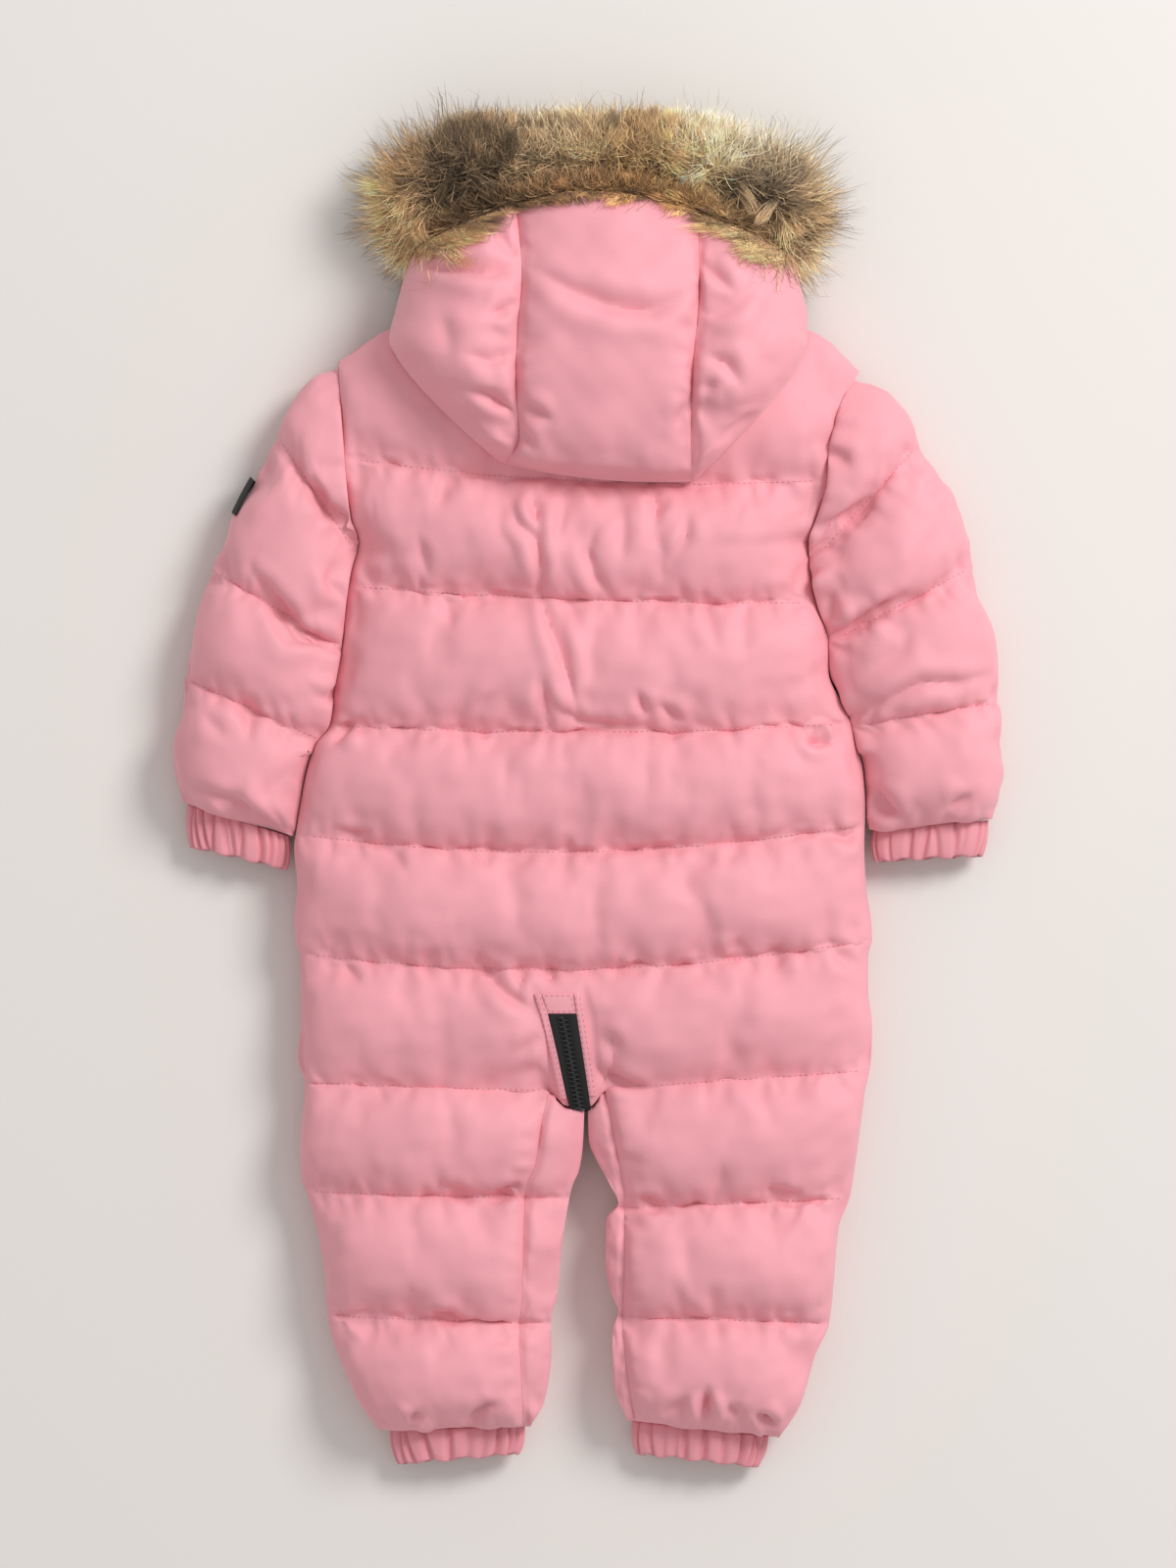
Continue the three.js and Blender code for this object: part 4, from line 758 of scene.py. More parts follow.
PINK = (0.955, 0.655, 0.70)
shell_material = cloth_material("pink_shell", PINK)
cuff_material = cloth_material("pink_cuff", (0.93, 0.615, 0.66), weave_depth=0.3)
thread_material = plain_material("pink_thread", (0.93, 0.62, 0.67), 0.55, grain=2500, depth=0.3)
tape_material = plain_material("zip_tape", (0.085, 0.083, 0.085), 0.75, grain=1500, depth=0.6)
teeth_material = plain_material("zip_teeth", (0.17, 0.17, 0.175), 0.38, grain=300, depth=0.08)
patch_material = plain_material("sleeve_patch", (0.07, 0.07, 0.072), 0.7, grain=1800, depth=0.6)
fur_look = fur_material("fur")


# Back panel

def line_y(k, u):
    """The y of quilt line k of the back at share u of its width."""
    q = QUILT_LINES[k]
    if k == 0:
        return top_line(u)
    sag = q["mid"] - (q["left"] + q["right"]) / 2
    return lerp(q["left"], q["right"], u) + sag * 4 * u * (1 - u)


def quilted(line, following, f):
    """The height at share f of the way from one quilt line to the next."""
    low = lerp(line["groove"], following["groove"], f)
    return low + (line["crest"] - low) * pillow(f)


def armhole_lift(y, side):
    """How far the outline is raised along an armhole, as a share of the most, which is at its middle."""
    top, low = ARMHOLES[side]
    t = np.clip((top - y) / (top - low), 0, 1)
    return np.sqrt(np.sin(math.pi * t))


def leg_profile(x, y, top, side):
    """The height across a leg, rounded down to its outer edge and to the inner contour."""
    outer = outer_edge[side](y)
    edge = contour[side]
    sign = 1 if side == "left" else -1
    inner = (edge(y + 14) + edge(y) + edge(y - 14)) / 3 + sign * 4
    s = (x - outer) / (inner - outer) * 2 - 1
    return EDGE_Z + (top - EDGE_Z) * dome(s)


def spaced(count):
    """Shares from 0 to 1 that are closer together at both ends."""
    t = np.linspace(0, 1, count + 1)
    return 0.55 * t + 0.45 * (1 - np.cos(math.pi * t)) / 2


def back_shares():
    """The columns of the back as shares of its width, with one on each side of the crotch."""
    legs_left, crotch, legs_right = BACK_COLUMNS
    low, high = CROTCH_SHARES
    t = np.linspace(0, 1, legs_left + 1)
    left = low * (0.65 * t + 0.35 * (1 - np.cos(t * math.pi / 2)))
    t = np.linspace(0, 1, legs_right + 1)
    right = high + (1 - high) * (0.65 * t + 0.35 * np.sin(t * math.pi / 2))
    return np.concatenate([left[:-1], np.linspace(low, high, crotch + 1)[:-1], right])


def stitch_wobble(along, seed):
    """The small rise, fall and sideways drift of a line of stitches, in millimetres."""
    lengths = (46, 15, 30, 14)
    waves = [soft_noise(along, 0 * along, length, seed + i) for i, length in enumerate(lengths)]
    drift = waves[0] * 1.0 + waves[1] * 0.8
    rise = waves[2] * 1.1 + waves[3] * 0.9
    return drift, rise


def block(x, y, z, inner, seed, last):
    """A block of rows below a line of stitches, which wobbles from a seed, and which points are held."""
    pins = np.zeros(x.shape, bool)
    pins[0] = True
    if last:
        pins[-1] = True
    if seed is not None:
        drift, lift = stitch_wobble(x[0], seed)
        y[0] += drift * inner
        z[0] += lift * inner
    return np.stack([x, y, z], axis=2), pins


def joined(blocks):
    """One grid from blocks of rows, held at both sides as well."""
    grid, sewn = (np.concatenate(parts) for parts in zip(*blocks))
    sewn[:, [0, -1]] = True
    return grid, sewn


def torso_grid(u):
    """The back from the shoulders to the crotch, one block of rows for each quilted channel."""
    low_share, high_share = CROTCH_SHARES
    blocks = []
    for k in range(6):
        rows = max(14, round((QUILT_LINES[k]["left"] - QUILT_LINES[k + 1]["left"]) / CLOTH_STEP))
        f = spaced(rows)[: None if k == 5 else -1][:, None]
        q, n = QUILT_LINES[k], QUILT_LINES[k + 1]
        y = lerp(line_y(k, u)[None], line_y(k + 1, u)[None], f)
        y_left, y_right = lerp(q["left"], n["left"], f), lerp(q["right"], n["right"], f)
        x = lerp(left_edge(y_left), right_edge(y_right), u[None])
        top = quilted(q, n, f) + 0 * x
        if k == 0:
            top = np.minimum(top, lerp(34, 49, smooth(0, 0.5, f)))
        rise = 14 * lerp(armhole_lift(y_left, "left"), armhole_lift(y_right, "right"), u[None])
        low = EDGE_Z + rise
        z = low + (top - low) * dome(2 * u[None] - 1)
        if k == 5:
            is_left = (u < 0.48)[None]
            middle = ((u > low_share - 1e-9) & (u < high_share + 1e-9))[None]
            leg_top = lerp(quilted(q, n, f), n["groove"], smooth(0.4, 1, f))
            left_y, right_y = LEG_LINES["left"][0]["inner"], LEG_LINES["right"][0]["inner"]
            left_z = leg_profile(x, left_y, leg_top, "left")
            right_z = leg_profile(x, right_y, leg_top, "right")
            from_seam = 1 - np.abs(2 * (u[None] - low_share) / (high_share - low_share) - 1)
            leg_z = np.where(middle, lerp(36, CROTCH_Z, from_seam), np.where(is_left, left_z, right_z))
            z = lerp(z, leg_z, smooth(0.15, 1, f))
            y = np.where(middle, lerp(y, crotch_line(x), smooth(0.3, 1, f)), y)
            left_end = lerp(n["left"], left_y, u / low_share)
            right_end = lerp(right_y, n["right"], (u - high_share) / (1 - high_share))
            y[-1] = np.where(middle[0], y[-1], np.where(u < 0.48, left_end, right_end))
        inner = smooth(0, 0.06, u) * smooth(0, 0.06, 1 - u)
        seed = 900 + 10 * k if k > 0 else None
        blocks.append(block(x, y, z, inner, seed, k == 5))
    torso, sewn = joined(blocks)
    sewn |= (np.abs(torso[..., 0] - zip_x(torso[..., 1])) < 14) & (torso[..., 1] < -123)
    return torso, sewn


def leg_grid(side, w):
    """A leg from the crotch to the ankle, from its outer edge at share 0 to the inseam at share 1."""
    lines = LEG_LINES[side]
    blocks = []
    for k in range(3):
        count = round((lines[k]["outer"] - lines[k + 1]["outer"]) / CLOTH_STEP)
        f = spaced(count)[: None if k == 2 else -1][:, None]
        y_outer = lerp(lines[k]["outer"], lines[k + 1]["outer"], f)
        y_inner = lerp(lines[k]["inner"], lines[k + 1]["inner"], f)
        y = lerp(y_outer, y_inner, w[None])
        x = lerp(outer_edge[side](y_outer), inseam[side](y_inner), w[None])
        z = leg_profile(x, y_inner, quilted(lines[k], lines[k + 1], f), side)
        inner = smooth(0, 0.1, w) * smooth(0, 0.1, 1 - w)
        seed = 950 + 10 * k + len(side) if k > 0 else None
        blocks.append(block(x, y, z, inner, seed, k == 2))
    return joined(blocks)


def back_sheet():
    """The coarse back panel for the simulation, and the vertex numbers of its torso and legs."""
    left, crotch, _ = BACK_COLUMNS
    u = back_shares()
    torso, torso_sewn = torso_grid(u)
    low, high = CROTCH_SHARES
    shares = {"left": u[: left + 1] / low, "right": (1 - u[left + crotch :]) / (1 - high)}
    points, sewn = [torso.reshape(-1, 3)], [torso_sewn.ravel()]
    torso_index = numbered(torso)
    index = {"torso": torso_index}
    first = {"left": torso_index[-1][: left + 1], "right": torso_index[-1][left + crotch :]}
    faces = grid_faces(torso_index)
    count = torso_sewn.size
    for side in ("left", "right"):
        leg, leg_sewn = leg_grid(side, shares[side])
        index[side] = np.vstack([first[side][None], count + numbered(leg[1:])])
        faces += grid_faces(index[side])
        points.append(leg[1:].reshape(-1, 3))
        sewn.append(leg_sewn[1:].ravel())
        count += sewn[-1].size
    points, sewn = np.vstack(points)[None], np.concatenate(sewn)
    sheet = cloth_sheet(points, sewn, faces, slack=0.055, pressure=7.0, most=7.0)
    sheet["index"], sheet["shares"] = index, dict(shares, torso=u)
    return sheet


def seam_groove(distance, depth=3.2, width=3.0):
    """The dip along a seam."""
    return -depth * np.exp(-((distance / width) ** 2))


def back_wrinkles(x, y):
    """The folds of the back and a soft unevenness."""
    noise = 1.1 * soft_noise(x, y, 75, 5) + 0.3 * soft_noise(x, y * 1.5, 22, 6)
    return FOLD_GAIN * folds(x, y, BACK_FOLDS) + noise


def back_panel(sheet):
    """The finished back, with gathers at each line of stitches, folds and a flat closed underside."""
    left, crotch, _ = BACK_COLUMNS
    u = halfway(sheet["shares"]["torso"])
    torso = refine(sheet["points"][sheet["index"]["torso"]])
    x, y = torso[..., 0].copy(), torso[..., 1].copy()
    shift = np.zeros_like(x)
    for k in range(1, 7):
        shift += gathers(x, y - line_y(k, u)[None], (-185, 185), 100 + k, depth=2.1, reach=12)
    shift += back_wrinkles(x, y)
    from_zip = np.abs(x - zip_x(y))
    by_zip = smooth(-116, -126, y) * (1 - smooth(13.5, 19, from_zip))
    shift *= (1 - by_zip) * smooth(0, 8, np.minimum(x - left_edge(y), right_edge(y) - x))
    torso = torso + raised(torso) * shift[..., None]
    torso[..., 2] -= 2.0 * smooth(-116, -126, y) * bump(from_zip, 16, 3.0)
    parts = [torso.reshape(-1, 3)]
    numbers = numbered(torso)
    faces = grid_faces(numbers)
    first = {"left": numbers[-1][: 2 * left + 1], "right": numbers[-1][2 * (left + crotch) :]}
    count = numbers.size
    for side in ("left", "right"):
        leg, w = refine(sheet["points"][sheet["index"][side]]), halfway(sheet["shares"][side])
        lines = LEG_LINES[side]
        x, y = leg[..., 0].copy(), leg[..., 1].copy()
        shift = np.zeros_like(x)
        for k in range(4):
            level = lerp(lines[k]["outer"], lines[k]["inner"], w)[None]
            shift += gathers(x, y - level, (-185, 185), 106 if k == 0 else 200 + k, depth=2.1, reach=12)
        to_seam = np.abs(x - inseam[side](y))
        shift += gathers(y, to_seam, (-400, -180), 330 + len(side), pitch=14, depth=2.0, reach=11)
        shift += back_wrinkles(x, y)
        shift *= smooth(0, 8, np.abs(x - outer_edge[side](y))) * smooth(0, 5, to_seam)
        leg = leg + raised(leg) * shift[..., None]
        leg[..., 2] += seam_groove(to_seam) * smooth(0, 12, -184 - y)
        faces += grid_faces(np.vstack([first[side][None], count + numbered(leg[1:])]))
        parts.append(leg[1:].reshape(-1, 3))
        count += len(parts[-1])
    points = np.vstack(parts)
    points[:, 2] = np.maximum(points[:, 2], PARTING_Z + 0.8)
    closed, faces = close_flat(points, faces, PARTING_Z + SEAM_GAP / 2)
    obj = make_object("back_panel_cloth", closed, faces, shell_material)
    return dress(obj, "back_panel")


def inner_leg_sheet(side):
    """The strip between an inseam and the inner contour of the leg, for the simulation."""
    lines = LEG_LINES[side]
    sign = 1 if side == "left" else -1
    columns = 9
    blocks = []
    for k in range(3):
        count = round((lines[k]["outer"] - lines[k + 1]["outer"]) / CLOTH_STEP)
        f = spaced(count)[: None if k == 2 else -1]
        y = lerp(lines[k]["inner"], lines[k + 1]["inner"], f)[:, None]
        x = lerp(inseam[side](y) + sign * 0.1, contour[side](y), np.linspace(0, 1, columns + 1)[None])
        limit = crotch_line(np.clip(x, -24.6, 9.6)) - 1.0
        y_all = np.minimum(y, limit - f[:, None] * 12) if k == 0 else y + 0 * x
        z = leg_profile(x, y, quilted(lines[k], lines[k + 1], f[:, None]), side)
        blocks.append(block(x, y_all, z, None, None, k == 2))
    grid, sewn = joined(blocks)
    faces = grid_faces(numbered(grid))
    if side == "right":
        faces = flipped(faces)
    return cloth_sheet(grid, sewn, faces, slack=0.05, pressure=6.0, most=4.0)


def inner_leg(side, sheet):
    """The finished inner strip of a leg."""
    lines = LEG_LINES[side]
    grid = refine(sheet["points"][sheet["index"]])
    x, y = grid[..., 0].copy(), grid[..., 1].copy()
    to_seam = np.abs(x - inseam[side](y))
    shift = gathers(y, to_seam, (-400, -180), 320 + len(side), pitch=12, depth=1.6, reach=9)
    for k in range(1, 4):
        shift += gathers(x, y - lines[k]["inner"], (-60, 60), 300 + k, pitch=8, depth=1.8, reach=9)
    shift += FOLD_GAIN * folds(x, y, BACK_FOLDS) + 0.6 * soft_noise(x, y, 60, 15)
    shift *= smooth(0, 4, to_seam) * smooth(0, 4, np.abs(x - contour[side](y)))
    grid = grid + raised(grid) * shift[..., None]
    grid[..., 2] = np.maximum(grid[..., 2] + seam_groove(to_seam), PARTING_Z + 0.8)
    if side == "right":
        grid = grid[:, ::-1]
    points, faces = close_flat(grid.reshape(-1, 3), grid_faces(numbered(grid)), PARTING_Z + SEAM_GAP / 2)
    obj = make_object(f"inner_leg_{side}_cloth", points, faces, shell_material)
    return dress(obj, f"inner_leg_{side}")


# Front panels, which lie on the surface

FRONT_ROWS = 26  # between two quilt lines
ARMHOLE_END = 147
NECK_Y = 287.5
NECK_SCOOP = 15.0
UNDERSIDE = [(0, 1.0), (1.2, 0.78), (3.5, 0.5), (9, 0.16), (20, 0.0), (400, 0.0)]
underside = curve(UNDERSIDE)


def front_panel(side):
    """One front panel, shaped in code alone: thin where it lies flat and lifted along its edges."""
    sign = 1 if side == "left" else -1
    edge, lines = outer_edge[side], LEG_LINES[side]
    inner_z = PARTING_Z - SEAM_GAP / 2
    middle = ZIP_X - sign * SEAM_GAP / 2
    stops = np.array([0, 0.8, 2, 3.5, 5.5, 8, 11, 15, 20])
    rows = []

    def add(y_outer, y_inner, x_inner, at_zip, f, at_top=False):
        at_armhole = float(armhole_lift(y_outer, side) * (y_outer > ARMHOLE_END))
        x_outer = edge(y_outer) + sign * 2 * at_armhole
        width = abs(x_inner - x_outer)
        d = np.concatenate([stops, np.linspace(26, width - 21, 9), width - np.array([15, 10.4, 9.6, 5, 0])])
        t = d / width
        pinch = 1 - 0.22 * (1 - pillow(np.clip(f, 0.001, 0.999)))
        lift = (1 - 0.8 * at_armhole) * pinch
        z = (inner_z - 0.5) * lift * underside(d)
        z = np.maximum(z, 5 * (1 - pinch) * np.exp(-d / 30) * smooth(0, 6, d) * 3)
        leg = (inner_z - 3) * underside(width - d)
        zip_bed = np.where(d >= width - 9.7, 3.0, 0.0)
        z = np.maximum(z, lerp(leg, zip_bed, at_zip))
        y = lerp(y_outer, y_inner, t)
        if at_top:
            u = t * 0.49 if side == "left" else 1 - t * 0.51
            y = y + (top_line(u) - lerp(y_outer, NECK_Y, t) - NECK_SCOOP * smooth(0.45, 0.85, t))
            z = np.maximum(z, 11)
        rows.append(np.stack([x_outer + sign * d, y, z], axis=1))

    for k in range(6):
        for f in spaced(FRONT_ROWS)[:-1]:
            y_outer = float(lerp(QUILT_LINES[k][side], QUILT_LINES[k + 1][side], f))
            at_top = k == 0 and f == 0
            y0 = float(line_y(k, 0.49)) - (NECK_SCOOP if k == 0 else 0)
            y_inner = NECK_Y if at_top else lerp(y0, float(line_y(k + 1, 0.49)), f)
            add(y_outer, y_inner, middle, 1, f, at_top)
    for k in range(3):
        for f in spaced(FRONT_ROWS)[: None if k == 2 else -1]:
            y_outer = float(lerp(lines[k]["outer"], lines[k + 1]["outer"], f))
            y_inner = float(lerp(lines[k]["inner"], lines[k + 1]["inner"], f))
            x_inner = float(contour[side](y_inner))
            x_inner = min(x_inner, middle) if sign > 0 else max(x_inner, middle)
            gap = smooth(-203, -186, y_inner)
            x_inner = lerp(x_inner, -13.5 if sign > 0 else 7.5, gap * (1 if k == 0 else 0))
            add(y_outer, y_inner, x_inner, 1 if k == 0 and f == 0 else 0, f)
    grid = np.array(rows)
    if side == "right":
        grid = grid[:, ::-1]
    faces = flipped(grid_faces(numbered(grid)))
    points, faces = close_flat(grid.reshape(-1, 3), faces, inner_z)
    obj = make_object(f"front_panel_{side}_cloth", points, faces, shell_material)
    return dress(obj, f"front_panel_{side}")


# Sleeves

SLEEVE_UP, SLEEVE_LOW = 34, 18  # columns over the upper and the lower half
SLEEVE_CHANNEL = 68.0  # about the length from one line of stitching to the next


def sleeve_sheet(side):
    """A sleeve as a tube of rings from the armhole to the cuff, for the simulation."""
    sign = -1 if side == "left" else 1
    rows = SLEEVE_ROWS[side]
    edge = outer_edge[side]
    angle = np.concatenate([
        np.linspace(0, math.pi, SLEEVE_UP + 1)[:-1],
        math.pi + np.linspace(0, math.pi, SLEEVE_LOW + 1)[:-1],
    ])
    up = angle < math.pi + 1e-9
    s = -np.cos(angle)
    rings, levels, sewn = [], [], []
    for k in range(4):
        row, after = rows[k], rows[k + 1]
        for f in spaced(16)[: None if k == 3 else -1]:
            bulge = row["bulge"] * math.sin(math.pi * f ** row.get("skew", 1))
            a, b = between(row["a"], after["a"], f), between(row["b"], after["b"], f)
            a[0] += sign * bulge
            limit = float(edge(b[1])) + sign * 0.5
            b[0] = min(b[0], limit) if sign < 0 else max(b[0], limit)
            top = float(quilted(row, after, f))
            t = (s + 1) / 2
            straighten = lerp(smooth(0, 0.2, f), smooth(0, 0.6, f), smooth(0, 0.45, t)) if k == 0 else 1.0
            x, y = lerp(a[0], b[0], t), lerp(a[1], b[1], t)
            x = lerp(edge(y) + sign * np.where(up, 0.15, 2.4), x, straighten)
            upper = SLEEVE_PARTING_Z + (top - SLEEVE_PARTING_Z) * dome(s)
            lower = SLEEVE_PARTING_Z * (1 - np.sqrt(np.maximum(0, 1 - np.abs(s) ** 6)))
            ring = np.stack([x, y, np.where(up, upper, lower)], axis=1)
            if f == 0 and k > 0:
                inner = np.sin(angle) * up
                drift, lift = stitch_wobble(x, 970 + 10 * k + len(side))
                ring[:, 1] += drift * inner
                ring[:, 2] += lift * inner
            rings.append(ring)
            levels.append(k + f)
            sewn.append((np.full(len(s), f == 0 or (k == 3 and f == 1)) & up) | (~up & (np.abs(s) < 0.9)))
    grid, sewn = np.array(rings), np.array(sewn)
    sewn[[0, -1]] = True
    sewn[:, [0, SLEEVE_UP]] |= (np.array(levels) % 1 == 0)[:, None]
    body = np.abs(grid[..., 0] - edge(grid[..., 1])) < 3
    sewn |= body & (grid[..., 1] < 150)
    faces = grid_faces(numbered(grid), closed=True)
    if side == "right":
        faces = flipped(faces)
    sheet = cloth_sheet(grid, sewn, faces, slack=0.055, pressure=6.0, most=6.0)
    sheet["levels"] = np.array(levels)
    return sheet


def sleeve(side, sheet):
    """The finished sleeve, kept clear of the edge of the body."""
    sign = -1 if side == "left" else 1
    edge = outer_edge[side]
    grid = refine(sheet["points"][sheet["index"]], wrap=True)
    level = halfway(sheet["levels"])[:, None]
    x, y = grid[..., 0].copy(), grid[..., 1].copy()
    steps = np.linalg.norm(np.diff(grid, axis=1), axis=2)
    distance = np.concatenate([np.zeros((len(grid), 1)), np.cumsum(steps, axis=1)], axis=1)
    shift = np.zeros_like(x)
    for k in range(1, 5):
        across = (k - level) * SLEEVE_CHANNEL + 0 * x
        seed = 400 + k + 20 * (side == "right")
        shift += gathers(distance, across, (0, 290), seed, pitch=11, depth=2.1, reach=12)
    to_armhole = np.abs(x - edge(y))
    by_armhole = gathers(y, to_armhole, (140, 260), 440 + len(side), pitch=13, depth=2.3, reach=11)
    shift += by_armhole * (level < 1.2)
    noise = 1.0 * soft_noise(x, y, 60, 31) + 0.3 * soft_noise(x, y, 22, 32)
    shift += FOLD_GAIN * folds(x, y, SLEEVE_FOLDS[side]) + noise
    columns = np.arange(x.shape[1])
    upper = smooth(0, 5, columns) * smooth(0, 5, 2 * SLEEVE_UP - columns)
    shift *= smooth(0, 0.09, level) * (0.12 + 0.88 * upper)[None]
    out = raised(grid, wrap=True, side=side)
    grid = grid + out * shift[..., None]
    grid[..., 2] += seam_groove(to_armhole) * (y > 148) * (grid[..., 2] > 26)
    grid[..., 2] = np.maximum(grid[..., 2], 0.05)
    away = sign * (grid[..., 0] - edge(grid[..., 1]))
    outside = edge(grid[..., 1]) + sign * (0.15 + np.maximum(away, 0) * smooth(3, 12, away))
    grid[..., 0] = np.where(grid[..., 1] > 20, outside, grid[..., 0])
    faces = tube_faces(numbered(grid))
    if side == "right":
        faces = flipped(faces)
    obj = make_object(f"sleeve_{side}_cloth", grid.reshape(-1, 3), faces, shell_material)
    return dress(obj, f"sleeve_{side}")


# Cuffs

def cuff(name):
    """A short gathered tube with irregular pleats, made from the seam down to the free edge."""
    (a_top, b_top), (a_hem, b_hem), pleats = CUFFS[name]
    rng = np.random.default_rng(sum(map(ord, name)))
    around, tall = 264, 16
    edges = np.cumsum(rng.uniform(0.45, 1.8, pleats))
    edges = edges / edges[-1] * 2 * math.pi
    depth = rng.uniform(1.3, 4.6, pleats)
    lean = rng.uniform(-0.12, 0.12, pleats)
    theta = np.linspace(0, 2 * math.pi, around + 1)[:-1]
    outer, inner = [], []
    for j in range(tall + 1):
        t = j / tall
        a, b = between(a_top, a_hem, t), between(b_top, b_hem, t)
        half = math.dist(a, b) / 2
        valley = np.zeros_like(theta)
        for p in range(pleats):
            away = (theta - edges[p] - lean[p] * (t - 0.5) + math.pi) % (2 * math.pi) - math.pi
            valley += depth[p] * np.exp(-((away / (0.045 + 0.02 * t)) ** 2))
        bulge = 1.2 * math.sin(math.pi * min(1, t * 1.05)) - 0.6 * (t > 0.9) * (t - 0.9) * 10
        scallop = 0.9 * np.sin(theta * pleats / 2.2 + 1.0) * t
        for rings, inset, share in ((outer, 0.0, 1.0), (inner, CUFF_WALL, 0.8)):
            pull = inset - bulge + valley * share
            c = np.cos(theta) * (1 - (pull + 0.8) / half)
            z = CUFF_MIDDLE_Z + np.sin(theta) * (CUFF_HALF_HEIGHT - pull - 0.4)
            x, y = between(a, b, (c + 1) / 2)
            rings.append(np.stack([x, y - scallop, np.maximum(z, 0.15)], axis=1))
    outer, inner = np.array(outer), np.array(inner)
    points = np.vstack([outer.reshape(-1, 3), inner.reshape(-1, 3)])
    index = numbered(outer)
    inside = index + index.size
    faces = grid_faces(index, closed=True) + flipped(grid_faces(inside, closed=True))
    faces += grid_faces(np.vstack([index[-1], inside[-1]]), closed=True)
    faces += grid_faces(np.vstack([inside[0], index[0]]), closed=True)
    obj = make_object(f"{name}_cloth", points, faces, cuff_material, sharp=None)
    dress(obj, name)
    return obj


# Hood

HOOD_SEAM = {s: [through([p[c] for p in HOOD_ROWS[s]["seam"]]) for c in (0, 1)] for s in HOOD_ROWS}
HOOD_RIM = {s: [through([p[c] for p in HOOD_ROWS[s]["rim"]]) for c in (0, 1)] for s in HOOD_ROWS}
hood_seam_z, hood_rim_z = through(HOOD_SEAM_Z), through(HOOD_RIM_Z)
hood_rim_inner_z, hood_sag = through(HOOD_RIM_INNER_Z), through(HOOD_SAG)
HOOD_V = np.concatenate([np.linspace(0, 6.6, 34)[:-1], 6.6 + 0.4 * np.sin(np.linspace(0, math.pi / 2, 7))])


def hood_line(curves, v, shift=0.0):
    """The (x, y) columns of a seam or rim of the hood at the stations v."""
    return curves[0](v)[:, None] + shift, curves[1](v)[:, None]


def hood_sheet(part):
    """A panel of the hood from the face edge down to the neck, for the simulation."""
    v = HOOD_V
    tucked = 12 * smooth(6.35, 7, v)[:, None] ** 3
    if part == "centre":
        t = spaced(26)[None]
        (lx, ly), (rx, ry) = hood_line(HOOD_SEAM["left"], v, 0.05), hood_line(HOOD_SEAM["right"], v, -0.05)
        arc = 4 * t * (1 - t)
        x, y = lerp(lx, rx, t), lerp(ly, ry, t) + hood_sag(v)[:, None] * arc
        z = hood_seam_z(v)[:, None] + HOOD_PUFF * arc - tucked
    else:
        t = spaced(19)[None]
        sign = -1 if part == "left" else 1
        (sx, sy), (rx, ry) = hood_line(HOOD_SEAM[part], v, sign * 0.05), hood_line(HOOD_RIM[part], v)
        x, y = lerp(rx, sx, t), lerp(ry, sy, t)
        rise = (1 - (1 - t) ** 2.6) ** 0.6
        end = np.where(v < 6.5, 1, 0.3)[:, None]
        z = lerp(hood_rim_z(v)[:, None], hood_seam_z(v)[:, None], rise)
        z = z + HOOD_PUFF * np.sin(math.pi * t) * end - tucked
    grid = np.stack([x, y, z], axis=2)
    if part == "right":
        grid = grid[:, ::-1]
    sewn = np.zeros(grid.shape[:2], bool)
    sewn[[0, -1]] = True
    sewn[:, [0, -1]] = True
    sewn[v > (6.7 if part == "centre" else 6.1)] = True
    return cloth_sheet(grid, sewn, grid_faces(numbered(grid)), slack=0.045, pressure=8.0, most=6.0)


def hood_panel(part, sheet, height_below):
    """A finished panel of the hood, as a wall that rests on the back where the back is under it."""
    grid = refine(sheet["points"][sheet["index"]])
    v = halfway(HOOD_V)
    x, y = grid[..., 0].copy(), grid[..., 1].copy()
    shift, clear, groove = np.zeros_like(x), np.ones_like(x), np.zeros_like(x)
    sides = ("left", "right") if part == "centre" else (part,)
    for number, side in enumerate(sides):
        sx, sy = hood_line(HOOD_SEAM[side], v)
        to_seam = np.hypot(x - sx, y - sy)
        seed = 500 + number + len(part)
        shift += gathers(y, to_seam, (185, 352), seed, pitch=10, depth=2.2, reach=11)
        clear *= smooth(0, 4, to_seam)
        groove += seam_groove(to_seam, 3.6, 3.0) * smooth(0, 0.5, 7 - v)[:, None]
    shift += HOOD_FOLD_GAIN * folds(x, y, HOOD_FOLDS)
    shift += 1.2 * soft_noise(x, y, 55, 41) + 0.35 * soft_noise(x, y, 22, 42)
    if part != "centre":
        rx, ry = hood_line(HOOD_RIM[part], v)
        clear *= smooth(0, 7, np.hypot(x - rx, y - ry))
    clear *= smooth(0, 0.25 if part == "centre" else 0.8, 7 - v)[:, None]
    grid = grid + raised(grid) * (shift * clear)[..., None]
    grid[..., 2] += groove
    inner = grid.copy()
    floor_z = hood_rim_inner_z(v) if part != "centre" else 0 * v
    for i, lowest in enumerate(floor_z):
        for j in range(x.shape[1]):
            px, py, pz = grid[i, j]
            below = height_below(px, py)
            arch = max(pz - HOOD_WALL, lowest)
            rested = below + 0.7 if below > 0 else arch
            low = max(lerp(arch, rested, float(smooth(286, 268, py))), below + 0.7 if below > 0 else 0)
            inner[i, j, 2] = min(low, pz - 1.2)
    points, faces = walled(grid, inner, grid_faces(numbered(grid)))
    name = "hood_centre" if part == "centre" else f"hood_side_{part}"
    return dress(make_object(name + "_cloth", points, faces, shell_material), name)


# Fur

